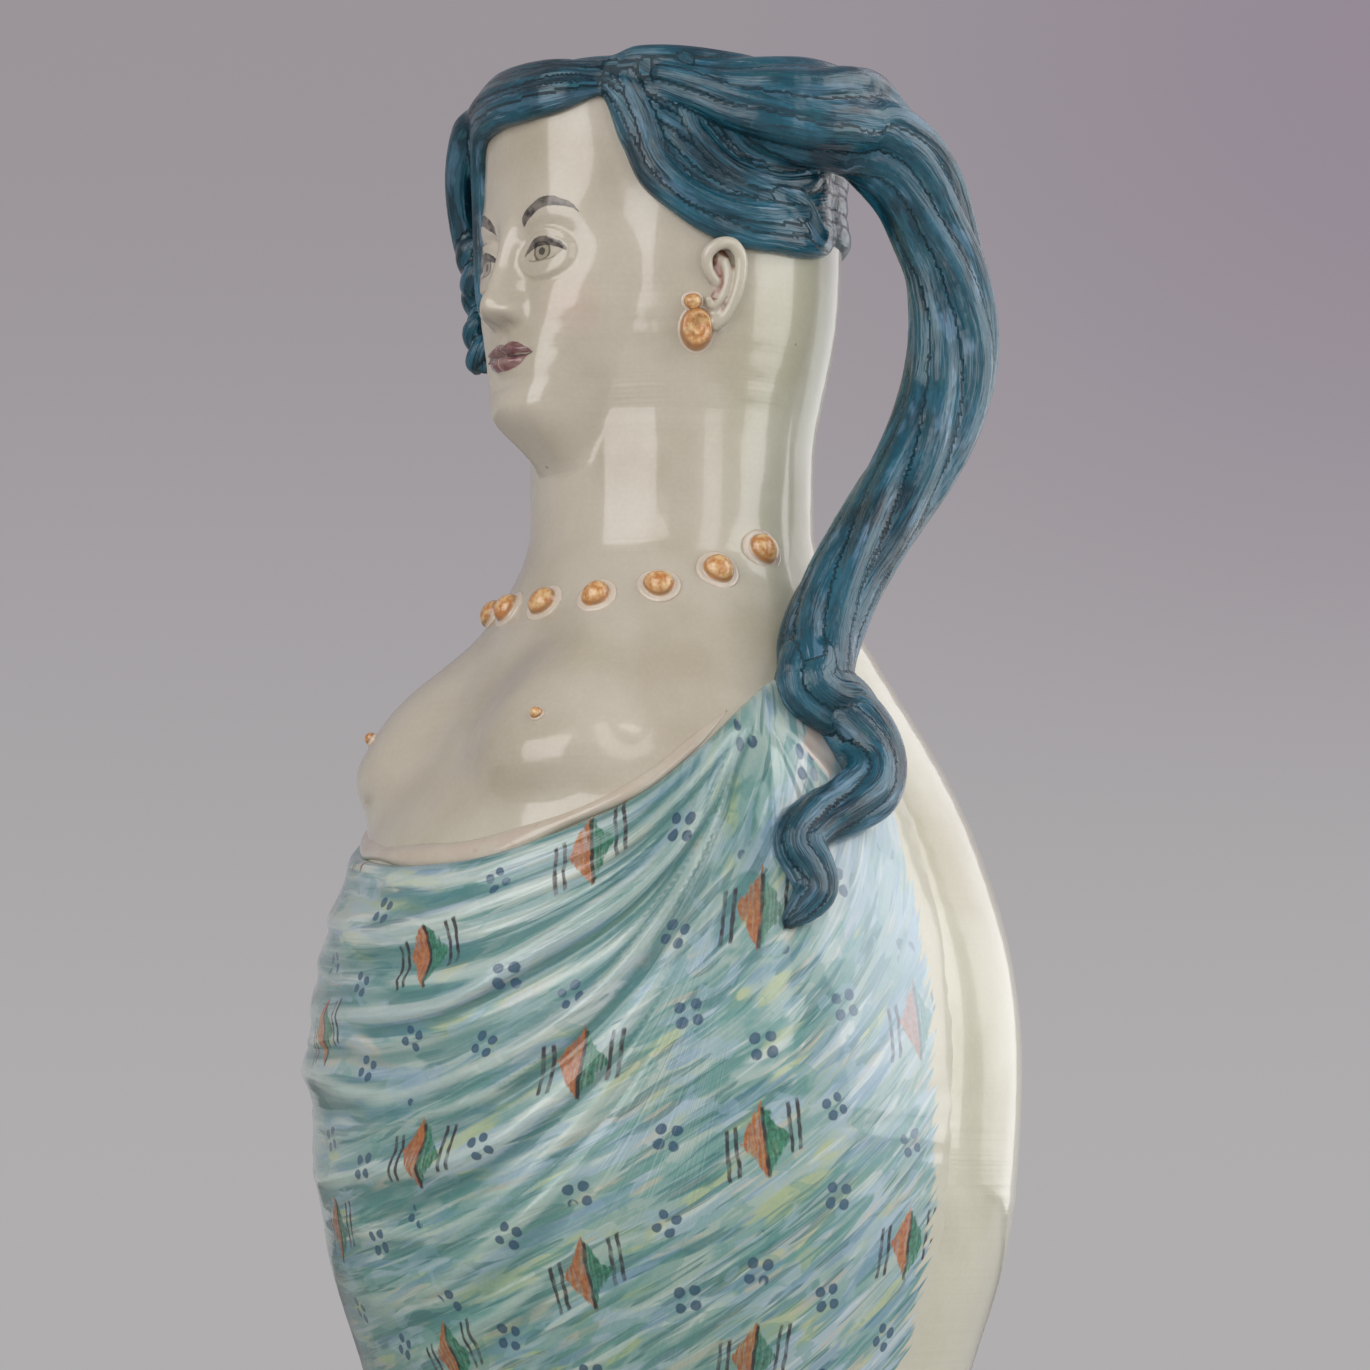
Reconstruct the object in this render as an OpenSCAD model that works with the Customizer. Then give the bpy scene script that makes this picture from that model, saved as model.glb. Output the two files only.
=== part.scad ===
// Tall glazed earthenware jug in the form of a standing figure.
// A wheel-thrown hollow body carries hand-modelled clay pieces luted on
// before firing: head features, bust, beads, a draped cloth, rolled hair
// and a twisted hair handle. Millimetres, base on z = 0, the figure faces -Y
// and angles are counted from the face towards the figure's left (+X).

/* [Thrown body] */
// Height of the widest part of the belly above the resting plane
belly_h = 200; // [180:1:220]
// Rise from the widest part of the belly to the narrowest part of the neck
shoulder_len = 137; // [125:1:150]
// Rise from the narrowest part of the neck to the lip of the mouth
head_len = 101; // [95:1:115]
// Rise from the narrowest part of the neck to the widest part of the head
head_rise = 65; // [55:1:75]
// Radius of the lip
lip_r = 41.5; // [39:0.5:44]
// Radius of the head
head_r = 42.9; // [41:0.1:45]
// Radius of the neck
neck_r = 35.6; // [33:0.1:38]
// Radius of the belly
belly_r = 86.5; // [82:0.5:91]
// Radius of the foot
foot_r = 54; // [48:0.5:62]
// Thickness of the thrown wall
wall_t = 6; // [4:0.5:8]
// Thickness of the floor
floor_t = 8; // [5:0.5:12]
// Height of the joint between the two belly sections
seam_h = 162; // [150:1:175]
// How far the joint between shoulder and neck lies below the neck
collar_drop = 11; // [8:0.5:13]
// Bevel round the edge of the foot
foot_bevel = 2; // [0.5:0.5:4]

/* [Head] */
// How far the face stands in front of the head's widest part
face_t = 7; // [5:0.5:9]
// Height of the face from chin to hairline
face_len = 72; // [68:0.5:75]
// Length of the nose
nose_len = 26; // [20:0.5:29]
// Width of the nose at the nostrils
nose_w = 13; // [10:0.5:15]
// How far the nose stands out from the face
nose_t = 8; // [5:0.5:10]
// Width of the mouth
mouth_w = 19; // [14:0.5:24]
// Width of one eye
eye_w = 12.5; // [10:0.5:13.5]
// Height of one eye, lid to lid
eye_h = 6; // [4.5:0.5:7]
// How far the eyeball and lids stand out
eye_t = 1.8; // [1:0.1:2.5]
// Height of the ear
ear_len = 23; // [20:0.5:25]
// Width of the ear
ear_w = 11; // [9:0.5:12]
// Thickness of the ear's rolled rim
ear_t = 4; // [3:0.5:5]
// Gap between the hair and the top of the ear
ear_gap = 1; // [0.5:0.25:3]
// Diameter of the earring's stud
stud_d = 5; // [4:0.5:6]
// Height of the earring's drop
drop_len = 9; // [7:0.5:10]
// Width of the earring's drop
drop_w = 7; // [5:0.5:8]
// Thickness of the earring's drop
drop_t = 3; // [2:0.5:4]

/* [Hair] */
// Height of the hair roll round the mouth
rim_roll_w = 17; // [14:0.5:19]
// How far the hair roll stands out from the wall
rim_roll_t = 6; // [4:0.5:8]
// Height of the waves of hair at the sides
wave_w = 29; // [24:0.5:30]
// Thickness of the waves of hair at the sides
wave_t = 7; // [4:0.5:9]
// Thickness of the full lock on the figure's right
lock_t = 12; // [8:0.5:15]
// Width of the ringlets on the figure's right
ringlet_w = 8; // [6:0.5:8.5]

/* [Handle] */
// Thickness of the handle at its top
handle_top_d = 27; // [24:0.5:29]
// Thickness of the handle at its grip
handle_mid_d = 22; // [18:0.5:24]
// Thickness of the handle at its foot
handle_low_d = 17.5; // [14:0.5:19]
// Distance from the neck's surface to the middle of the grip
handle_reach = 36; // [34:0.5:42]
// How far the handle's foot lies below the neck
handle_drop = 51; // [45:1:58]
// Thickness of the curl that ends the handle
curl_d = 13; // [10:0.5:14]
// Height of the curl, from the handle's foot to its tip
curl_len = 57; // [48:1:64]

/* [Necklace] */
// Number of beads
bead_count = 10; // [6:1:11]
// Diameter of a bead
bead_d = 7.5; // [5:0.5:8]
// Diameter of the slip ring that holds a bead
bead_ring_d = 9.6; // [8.5:0.1:10.5]
// Thickness of that slip ring
bead_ring_t = 0.9; // [0.5:0.1:1.5]
// How far the lowest bead hangs below the neck
necklace_drop = 31; // [28:0.5:36]
// Rise of the necklace from the throat to the sides
necklace_rise = 13.5; // [8:0.5:15]

/* [Bust] */
// Width of one breast
bust_w = 50; // [44:1:54]
// Height of one breast
bust_len = 48; // [42:1:49]
// How far the breast stands out from the wall
bust_t = 10; // [7:0.5:12]
// Diameter of the small pellet on each
pellet_d = 3.2; // [2:0.2:4]
// Bare space left above and below the breasts
bust_gap = 2; // [1:0.25:4]

/* [Drape] */
// Thickness of the draped sheet
drape_t = 3; // [2:0.25:4]
// Extra thickness where the drape swags over the hip
swag_t = 1; // [0:0.5:5]
// Height of the drape's lower edge
hem_h = 20; // [12:1:40]
// Width of a raised fold in the middle of its length
fold_w = 13; // [9:0.5:14]
// Height of a raised fold above the sheet
fold_t = 3.5; // [2:0.25:4.5]
// Width of the thin coil along the neckline
coil_w = 5; // [3:0.5:6]
// Thickness of that coil
coil_t = 2.6; // [1.5:0.1:3.5]
// Rise of the neckline from the chest to the shoulder
neckline_rise = 43; // [36:1:50]
// How far the gathered bunch of cloth lies below the neckline
gather_drop = 16; // [14:0.5:22]
// Width of the gathered bunch of cloth on the shoulder
gather_w = 22; // [18:0.5:24]
// Thickness of that bunch
gather_t = 5; // [3:0.5:7]

/* [Hidden] */
BEADS = [for (i = [1 : bead_count]) str("bead_", i)];
FOLDS = [for (i = [1 : 6]) str("drape_fold_", i)];

neck_h = belly_h + shoulder_len;
head_h = neck_h + head_rise;
lip_h = neck_h + head_len;
collar_h = neck_h - collar_drop;

// Clearance between a luted piece and the piece that carries it
bed = 0.25;
// Height of one step of the thrown outline
profile_step = 6;
// Smallest thickness left where a modelled piece feathers out
feather_t = 0.5;
// Smoothness of the turned shapes
round_fn = 96;
small_fn = 32;
full_turn = 360;

cream = "#cdc9b8";
flesh = "#d8bda2";
rose = "#8c3a4a";
gold = "#d98f3f";
hair_blue = "#3d6680";
hair_light = "#5f88a0";
cloth = "#9cc0bd";
cloth_deep = "#76aaad";

// Outline of the thrown body. Each pair is a share of the rise and a share
// of the change in radius between two of the named heights.
belly_shares = [
    [0.08, -0.02], [0.18, 0], [0.30, 0.10], [0.45, 0.31], [0.61, 0.605],
    [0.72, 0.83], [0.80, 0.925], [0.88, 0.975]];
shoulder_shares = [
    [0.14, 0.96], [0.25, 0.89], [0.36, 0.79], [0.42, 0.725], [0.50, 0.62],
    [0.585, 0.487], [0.64, 0.395], [0.69, 0.316], [0.76, 0.20],
    [0.84, 0.075], [0.91, 0.004]];
head_shares = [[0.21, 0.04], [0.385, 0.36], [0.65, 0.82]];

wall_stations = concat(
    [[0, foot_r]],
    [for (p = belly_shares) [p[0] * belly_h, foot_r + p[1] * (belly_r - foot_r)]],
    [[belly_h, belly_r]],
    [for (p = shoulder_shares)
        [belly_h + p[0] * (neck_h - belly_h), belly_r + (1 - p[1]) * (neck_r - belly_r)]],
    [[neck_h, neck_r]],
    [for (p = head_shares)
        [neck_h + p[0] * (head_h - neck_h), neck_r + p[1] * (head_r - neck_r)]],
    [[head_h, head_r], [lip_h, lip_r]]);

// Smooth curve through a list of [position, value ...] stations
function span(s, t, i = 0) = i >= len(s) - 2 || t <= s[i + 1][0] ? i : span(s, t, i + 1);
function slope(s, i) =
    i == 0 ? (s[1][1] - s[0][1]) / (s[1][0] - s[0][0])
    : i == len(s) - 1 ? (s[i][1] - s[i - 1][1]) / (s[i][0] - s[i - 1][0])
    : (s[i + 1][1] - s[i - 1][1]) / (s[i + 1][0] - s[i - 1][0]);
function blend(u, p, q, m, n) =
    (2 * u ^ 3 - 3 * u ^ 2 + 1) * p + (u ^ 3 - 2 * u ^ 2 + u) * m
    + (3 * u ^ 2 - 2 * u ^ 3) * q + (u ^ 3 - u ^ 2) * n;
function curve(s, t) =
    let (
        c = max(s[0][0], min(s[len(s) - 1][0], t)),
        i = span(s, c),
        h = s[i + 1][0] - s[i][0])
    blend((c - s[i][0]) / h, s[i][1], s[i + 1][1], slope(s, i) * h, slope(s, i + 1) * h);

// Smooth route through hand-chosen points, with a few steps between each two
function route(p, steps) =
    let (n = len(p))
    concat(
        [for (i = [0 : n - 2], k = [0 : steps - 1])
            let (
                a = p[max(0, i - 1)],
                d = p[min(n - 1, i + 2)])
            blend(k / steps, p[i], p[i + 1], (p[i + 1] - a) / 2, (d - p[i]) / 2)],
        [p[n - 1]]);

// Places on the figure: angle from the face, distance from the axis, height
function at(a, r, z) = [r * sin(a), -r * cos(a), z];
function degrees(arc, r) = arc / r * 180 / PI;
function bump(d) = exp(-d * d);
function ease(t) =
    let (c = max(0, min(1, t)))
    c * c * (3 - 2 * c);

function wall_r(z) = curve(wall_stations, z);
wall_skin = function (a, z) wall_r(z);

// The hair is laid from the lip down: the roll round the mouth, then the
// waves, whose upper edge is also the hairline over the face
rim_roll_z = lip_h - rim_roll_w * 0.32;
wave_top_z = rim_roll_z - rim_roll_w / 2 - bed;

// The face: a calm mask of plain proportions. The brow, the base of the nose
// and the chin divide it into equal thirds, and the eyes are an eye apart.
hairline_z = wave_top_z;
chin_z = hairline_z - face_len;
face_third = face_len / 3;
nose_z = chin_z + face_third;
brow_z = chin_z + 2 * face_third;
mouth_z = nose_z - face_third / 3;
eye_z = brow_z - face_third / 3;
face_half_angle = 43;
eye_angle = degrees(eye_w, head_r + face_t);
socket_share = 0.22;
cheek_share = 0.14;
chin_share = 0.12;

function face_relief(a, z) =
    let (
        across = abs(a) / face_half_angle,
        up = (z - chin_z) / face_len,
        crown = ease((1 - across) * 1.6) * ease(up * 5 + 0.35) * ease((1 - up) * 3 + 0.3),
        socket = bump((abs(a) - eye_angle) / 9) * bump((z - eye_z) / face_third * 3),
        cheek = bump((abs(a) - 1.5 * eye_angle) / 12) * bump((z - nose_z) / face_third * 2),
        chin = bump(a / 10) * bump((z - chin_z) / face_third * 2.6 - 0.7))
    feather_t + crown * max(0, head_r + face_t - wall_r(z))
    + face_t * (cheek_share * cheek + chin_share * chin - socket_share * socket);
face_skin = function (a, z) wall_r(z) + face_relief(a, z) + bed;

// Stacked from the neck down: necklace, bust, neckline of the drape, gather
bead_front_z = neck_h - necklace_drop;
bust_angle = 29;
bust_z = bead_front_z - bead_ring_d / 2 - bust_gap - bust_len / 2;
neckline_base_z = bust_z - bust_len / 2 - bust_gap - coil_w - bed;

// The drape's top edge falls from the left shoulder to the chest and climbs
// again to the right: each pair an angle and a share of the neckline's rise
neckline_shares = [
    [-104, 1.00], [-80, 0.76], [-58, 0.44], [-36, 0.12], [-14, -0.01], [6, -0.07],
    [22, -0.04], [34, 0.07], [50, 0.31], [59, 0.53], [70, 0.80], [79, 0.96],
    [90, 0.99], [104, 0.90]];
function neckline_z(a) = neckline_base_z + neckline_rise * curve(neckline_shares, a);
drape_half_angle = 103;
gather_angle = 71;
gather_z = neckline_z(gather_angle) - gather_drop;
swag_angle = -22;
swag_z = belly_h;
swag_len = belly_h / 3;
fade_len = belly_h / 2;

function sheet_relief(a, z) =
    let (
        side = ease((drape_half_angle - abs(a)) / 12),
        swag = bump((a - swag_angle) / 38) * bump((z - swag_z) / swag_len),
        low = ease((z - hem_h) / fade_len))
    feather_t + (drape_t - feather_t) * side * (0.4 + 0.6 * low) + swag_t * swag * side;
// The sheet's top, as the pieces that lie on it find it
edge_soft = 4;
function over_sheet(a, z) =
    let (inside = ease((neckline_z(a) + edge_soft - z) / edge_soft))
    abs(a) > drape_half_angle ? 0 : inside * (sheet_relief(a, z) + bed);
sheet_skin = function (a, z) wall_r(z) + over_sheet(a, z);

// A strip of clay pressed on a surface. Each point of the route holds an
// angle, a height, a width and a thickness. The underside follows the
// surface, the top is rounded and may carry strands that run along it.
module strip(path, skin, cells = 4, strands = 0, groove = 0, fullness = 2) {
    n = cells;
    m = 2 * n;
    rings = len(path);
    points = [for (i = [0 : rings - 1])
        let (
            p = path[i],
            before = path[max(0, i - 1)],
            after = path[min(rings - 1, i + 1)],
            r = skin(p[0], p[1]),
            run = (after[0] - before[0]) * PI / 180 * r,
            rise = after[1] - before[1],
            size = sqrt(run * run + rise * rise))
        for (k = [0 : m - 1])
            let (
                j = k <= n ? k : m - k,
                s = 2 * j / n - 1,
                a = p[0] - degrees(s * p[2] / 2 * rise / size, r),
                z = p[1] + s * p[2] / 2 * run / size,
                top = sqrt(max(0, 1 - abs(s) ^ fullness)) * (1 + groove * cos(strands * full_turn / 2 * s)))
            at(a, skin(a, z) + bed + (k <= n ? 0 : p[3] * top), z)];
    function over(j) = (m - j) % m;
    sides = [for (i = [0 : rings - 2], k = [0 : m - 1])
        let (a = i * m + k, b = i * m + (k + 1) % m)
        each [[a, a + m, b], [b, a + m, b + m]]];
    last = (rings - 1) * m;
    caps = [for (j = [0 : n - 1]) each concat(
        j < n - 1 ? [[j, j + 1, over(j + 1)], [last + j, last + over(j + 1), last + j + 1]] : [],
        j > 0 ? [[j, over(j + 1), over(j)], [last + j, last + over(j), last + over(j + 1)]] : [])];
    polyhedron(points, concat(sides, caps));
}

// A low mound of clay pressed on a surface, an oval in outline
module mound(a0, z0, w, len, t, skin, rings = 5, sides = 24, power = 1) {
    r0 = skin(a0, z0);
    function spot(ring, k, lift) =
        let (
            q = ring / rings,
            a = a0 + degrees(q * w / 2 * cos(k * full_turn / sides), r0),
            z = z0 + q * len / 2 * sin(k * full_turn / sides))
        at(a, skin(a, z) + bed + lift * t * (1 - q * q) ^ power, z);
    under = concat([spot(0, 0, 0)], [for (i = [1 : rings], k = [0 : sides - 1]) spot(i, k, 0)]);
    over = concat([spot(0, 0, 1)], [for (i = [1 : rings - 1], k = [0 : sides - 1]) spot(i, k, 1)]);
    base = len(under);
    function low(i, k) = 1 + (i - 1) * sides + k % sides;
    function high(i, k) = i == rings ? low(i, k) : base + 1 + (i - 1) * sides + k % sides;
    faces = concat(
        [for (k = [0 : sides - 1]) each [[0, low(1, k), low(1, k + 1)],
            [base, high(1, k + 1), high(1, k)]]],
        [for (i = [1 : rings - 1], k = [0 : sides - 1]) each [
            [low(i, k), low(i + 1, k), low(i + 1, k + 1)],
            [low(i, k), low(i + 1, k + 1), low(i, k + 1)],
            [high(i, k), high(i + 1, k + 1), high(i + 1, k)],
            [high(i, k), high(i, k + 1), high(i + 1, k + 1)]]]);
    polyhedron([each under, each over], faces);
}

// A sheet of clay on the wall between two angles, from a lower to an upper
// edge, with a thickness told by a function of angle and height
module sheet(a0, a1, low_edge, high_edge, relief, across, up) {
    function spot(i, j, lift) =
        let (
            a = a0 + (a1 - a0) * i / across,
            z = low_edge(a) + (high_edge(a) - low_edge(a)) * j / up)
        at(a, wall_r(z) + bed + lift * relief(a, z), z);
    points = [for (lift = [0, 1], i = [0 : across], j = [0 : up]) spot(i, j, lift)];
    base = (across + 1) * (up + 1);
    function low(i, j) = i * (up + 1) + j;
    function high(i, j) = base + low(i, j);
    skins = [for (i = [0 : across - 1], j = [0 : up - 1]) each [
        [low(i, j), low(i + 1, j), low(i + 1, j + 1)],
        [low(i, j), low(i + 1, j + 1), low(i, j + 1)],
        [high(i, j), high(i + 1, j + 1), high(i + 1, j)],
        [high(i, j), high(i, j + 1), high(i + 1, j + 1)]]];
    ends = [for (i = [0 : across - 1]) each [
        [low(i, 0), high(i + 1, 0), low(i + 1, 0)],
        [low(i, 0), high(i, 0), high(i + 1, 0)],
        [low(i, up), low(i + 1, up), high(i + 1, up)],
        [low(i, up), high(i + 1, up), high(i, up)]]];
    flanks = [for (j = [0 : up - 1]) each [
        [low(0, j), low(0, j + 1), high(0, j + 1)],
        [low(0, j), high(0, j + 1), high(0, j)],
        [low(across, j), high(across, j + 1), low(across, j + 1)],
        [low(across, j), high(across, j), high(across, j + 1)]]];
    polyhedron(points, concat(skins, ends, flanks));
}

// A twisted rope of hair. Each point of the route holds an angle, a distance
// from the axis, a height and a radius. Where it meets the body it is
// pressed flat against it.
module rope(path, skin, sides = 16, lobes = 4, lobe_share = 0.06, turn = 14) {
    rings = len(path);
    centres = [for (p = path) at(p[0], p[1], p[2])];
    function pressed(p) =
        let (
            a = atan2(p[0], -p[1]),
            r = norm([p[0], p[1]]),
            least = skin(a, p[2]) + bed)
        r < least ? at(a, least, p[2]) : p;
    points = [for (i = [0 : rings - 1])
        let (
            along = centres[min(rings - 1, i + 1)] - centres[max(0, i - 1)],
            forward = along / norm(along),
            outward = at(path[i][0], 1, 0),
            side = cross(forward, outward),
            first = side / norm(side),
            second = cross(first, forward))
        for (k = [0 : sides - 1])
            let (
                t = k * full_turn / sides,
                r = path[i][3] * (1 - lobe_share + lobe_share * cos(lobes * t + turn * i)))
            pressed(centres[i] + r * (first * cos(t) + second * sin(t)))];
    start = len(points);
    faces = concat(
        [for (i = [0 : rings - 2], k = [0 : sides - 1])
            let (a = i * sides + k, b = i * sides + (k + 1) % sides)
            each [[a, b, a + sides], [b, b + sides, a + sides]]],
        [for (k = [1 : sides - 2]) [0, k + 1, k]],
        [for (k = [1 : sides - 2])
            let (e = start - sides)
            [e, e + k, e + k + 1]]);
    polyhedron(points, faces);
}

// One turned section of the wall, from one height to another
function outline(z0, z1, inward) =
    let (n = ceil((z1 - z0) / profile_step))
    [for (k = [0 : n])
        let (z = z0 + (z1 - z0) * k / n)
        [wall_r(z) - inward, z]];
function reversed(list) = [for (i = [len(list) - 1 : -1 : 0]) list[i]];

module lower_body() {
    color(cream) rotate_extrude($fn = round_fn) polygon(concat(
        [[0, 0], [foot_r - foot_bevel, 0]],
        outline(foot_bevel, seam_h, 0),
        reversed(outline(floor_t, seam_h, wall_t)),
        [[0, floor_t]]));
}

module upper_body() {
    color(cream) rotate_extrude($fn = round_fn) polygon(concat(
        outline(seam_h, collar_h, 0),
        reversed(outline(seam_h, collar_h, wall_t))));
}

module neck_and_head() {
    lip_round = wall_t / 2;
    shoulder_z = lip_h - lip_round;
    color(cream) rotate_extrude($fn = round_fn) polygon(concat(
        outline(collar_h, shoulder_z, 0),
        [for (t = [30 : 30 : 150])
            [wall_r(shoulder_z) - lip_round + lip_round * cos(t), shoulder_z + lip_round * sin(t)]],
        reversed(outline(collar_h, shoulder_z, wall_t))));
}

module face() {
    color(cream) sheet(-face_half_angle, face_half_angle,
        function (a) chin_z - face_third * 0.25,
        function (a) hairline_z - face_third * 0.08,
        function (a, z) face_relief(a, z), 26, 26);
}

module nose() {
    tip_z = nose_z + nose_w * 0.12;
    bridge_z = nose_z + nose_len;
    profile = [
        [0, bridge_z, nose_w * 0.36, nose_t * 0.18],
        [0, bridge_z - nose_len * 0.35, nose_w * 0.42, nose_t * 0.42],
        [0, bridge_z - nose_len * 0.65, nose_w * 0.58, nose_t * 0.72],
        [0, tip_z + nose_len * 0.10, nose_w * 0.95, nose_t],
        [0, nose_z, nose_w * 0.70, nose_t * 0.62]];
    color(cream) strip(route(profile, 4), face_skin, 8);
}

lip_gap = 0.5;
module lip(z, height, thick, dip) {
    half = degrees(mouth_w / 2, head_r + face_t);
    profile = [for (s = [-1, -0.6, -0.25, 0, 0.25, 0.6, 1])
        [half * s, z - dip * s * s, height * (1 - 0.85 * s * s), thick * (1 - 0.8 * s * s)]];
    color(rose) strip(route(profile, 2), face_skin, 4);
}

lip_w = 0.19 * mouth_w;
module upper_lip() {
    lip(mouth_z + (lip_w + lip_gap) / 2, lip_w, lip_w * 0.6, 0);
}

module lower_lip() {
    lip(mouth_z - (lip_w + lip_gap) / 2, lip_w, lip_w * 0.75, 0);
}

module eye(a) {
    color(cream) mound(a, eye_z, eye_w, eye_h, eye_t, face_skin, 4, 20, 0.7);
}

module eye_left() {
    eye(eye_angle);
}

module eye_right() {
    eye(-eye_angle);
}

// Ears: a rolled rim that curls round like a question mark and ends in a lobe
ear_angle = 70;
ear_z = wave_top_z - wave_w - ear_gap - ear_len / 2;
ear_shares = [
    [0.18, 0.05, 0.5, 0.7], [0.02, 0.22, 0.6, 0.8], [-0.22, 0.44, 0.8, 1], [0.10, 0.48, 1, 1],
    [0.36, 0.36, 1, 1.1], [0.42, 0.08, 1, 1.1], [0.28, -0.18, 1, 1], [0.02, -0.34, 1.1, 1.05],
    [-0.22, -0.42, 0.9, 0.8]];

module ear(side, z) {
    r = wall_r(z);
    profile = [for (p = ear_shares)
        [side * (ear_angle + degrees(p[0] * (ear_w - ear_t * 0.6), r)),
            z + p[1] * (ear_len - ear_t),
            p[2] * ear_t * 0.75,
            p[3] * ear_t]];
    color(cream) strip(route(profile, 3), wall_skin, 4);
}

module ear_left() {
    ear(1, ear_z);
}

module ear_right() {
    ear(-1, ear_z);
}

// Turned knob that stands on the wall: origin on the wall, growing outwards
module knob(a, z, lift) {
    translate(at(a, wall_r(z) + bed + lift, z)) rotate([0, 0, a]) rotate([90, 0, 0]) children();
}

earring_angle = 59.5;
stud_z = ear_z - ear_len * 0.16;
drop_top_z = stud_z - stud_d / 2 - bed;

module earring_stud(side) {
    color(gold) knob(side * earring_angle, stud_z, 0) rotate_extrude($fn = small_fn)
        polygon(concat([[0, 0]], [for (t = [0 : 15 : 90]) [stud_d / 2 * cos(t), stud_d / 2 * sin(t)]]));
}

module earring_drop(side) {
    color(gold) mound(side * earring_angle, drop_top_z - drop_len / 2, drop_w, drop_len,
        drop_t, wall_skin, 4, 20, 0.5);
}

module earring_stud_left() {
    earring_stud(1);
}

module earring_stud_right() {
    earring_stud(-1);
}

module earring_drop_left() {
    earring_drop(1);
}

module earring_drop_right() {
    earring_drop(-1);
}

// Hair. The parting lies over the left brow. From it one roll runs round the
// mouth to the handle and another round the front and back to the handle.
parting_angle = 32;
handle_angle = 84;
back_angle = -238;
rim_end_share = 0.75;
hair_fullness = 5;

function rim_strip(from, to, steps) =
    [for (i = [0 : steps])
        let (t = i / steps, full = rim_end_share + (1 - rim_end_share) * sin(180 * t))
        [from + (to - from) * t, rim_roll_z, rim_roll_w, rim_roll_t * full]];

module hair_rim_left() {
    color(hair_light) strip(rim_strip(parting_angle + 0.3, handle_angle, 10), wall_skin,
        8, 3, 0.07, hair_fullness);
}

module hair_rim_right() {
    color(hair_blue) strip(rim_strip(parting_angle - 0.3, back_angle, 48), wall_skin,
        8, 3, 0.07, hair_fullness);
}

// Waves: an angle, then shares of the wave's width for how far the middle
// lies below its upper edge and for how wide it is, then one of thickness
module wave(shares, thick, steps) {
    profile = [for (p = shares) [p[0], wave_top_z - p[1] * wave_w, p[2] * wave_w, p[3] * thick]];
    color(hair_blue) strip(route(profile, steps), wall_skin, 8, 4, 0.06, hair_fullness);
}

module hair_wave_left() {
    wave([
        [44.5, 0.21, 0.10, 0.35], [50, 0.33, 0.44, 0.8], [60, 0.45, 0.80, 1],
        [74, 0.52, 0.98, 1], [90, 0.53, 1, 0.95], [106, 0.52, 0.96, 0.8],
        [121, 0.50, 0.92, 0.6]], wave_t, 4);
}

module hair_wave_back() {
    wave([
        [121.6, 0.50, 0.92, 0.6], [140, 0.47, 0.90, 0.5], [165, 0.46, 0.88, 0.5],
        [190, 0.46, 0.88, 0.5], [215, 0.47, 0.90, 0.55], [242, 0.49, 0.94, 0.65]], wave_t, 4);
}

module hair_wave_right() {
    wave([
        [-117.4, 0.49, 0.94, 0.4], [-100, 0.52, 0.98, 0.6], [-82, 0.53, 1, 0.85],
        [-66, 0.49, 0.94, 1], [-54, 0.42, 0.72, 0.95], [-45, 0.25, 0.30, 0.5]], lock_t, 4);
}

// Ringlets that hang before the right ear, one below the other
ringlet_angle = -49.5;
ringlet_rise = 7.8;
module ringlet(z, swing, size) {
    span_z = ringlet_rise * size;
    profile = [
        [ringlet_angle + swing, z, ringlet_w * 0.5 * size, lock_t * 0.5 * size],
        [ringlet_angle - swing, z - span_z * 0.35, ringlet_w * size, lock_t * 0.95 * size],
        [ringlet_angle - swing * 0.6, z - span_z * 0.75, ringlet_w * 0.9 * size, lock_t * size],
        [ringlet_angle + swing, z - span_z, ringlet_w * 0.4 * size, lock_t * 0.6 * size]];
    color(hair_blue) strip(route(profile, 4), wall_skin, 6, 2, 0.08);
}
ringlet_top_z = wave_top_z - wave_w - ear_gap;

module ringlet_upper() {
    ringlet(ringlet_top_z, 1, 1);
}

module ringlet_middle() {
    ringlet(ringlet_top_z - ringlet_rise - bed, -1, 0.95);
}

module ringlet_lower() {
    ringlet(ringlet_top_z - 2 * (ringlet_rise + bed), 1, 0.85);
}

// Handle. Each row holds an angle, a share of the reach, a height and a
// radius. Above the neck the height is a share of the head's rise, and below
// it a share of the handle's drop.
grip_r = handle_mid_d / 2;
top_r = handle_top_d / 2;
low_r = handle_low_d / 2;
handle_shares = [
    [84.6, 0.40, 0.875, 0.76 * top_r], [98, 0.44, 0.89, 0.92 * top_r],
    [112, 0.48, 0.89, top_r], [119.5, 0.62, 0.845, 0.95 * top_r],
    [124, 0.79, 0.735, 1.08 * grip_r], [127, 0.90, 0.63, grip_r], [129, 0.99, 0.47, grip_r],
    [129.5, 1, 0.35, grip_r], [128, 0.965, 0.24, grip_r], [121.6, 0.83, 0.045, 0.96 * grip_r],
    [117, 0.76, -0.07, 0.93 * grip_r], [110, 0.69, -0.26, 1.1 * low_r],
    [101, 0.63, -0.515, 1.03 * low_r], [94, 0.60, -0.71, low_r],
    [89.5, 0.615, -0.87, low_r], [85.5, 0.70, -1, 0.96 * low_r]];
// Curl on the drape: an angle, a share of its height and one of its thickness
curl_shares = [
    [85, 0.00, 1.2], [87, 0.06, 1.15], [91, 0.09, 1.1], [95.5, 0.18, 1.1],
    [96.5, 0.31, 1.1], [92.5, 0.43, 1.1], [86, 0.52, 1.02], [79, 0.60, 0.95],
    [75, 0.70, 0.88], [76.5, 0.81, 0.9], [77, 0.89, 0.8], [74.5, 0.96, 0.5],
    [72, 1, 0.2]];
handle_foot_z = neck_h - handle_drop;
curl_top_z = handle_foot_z - curl_d / 3;

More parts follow.
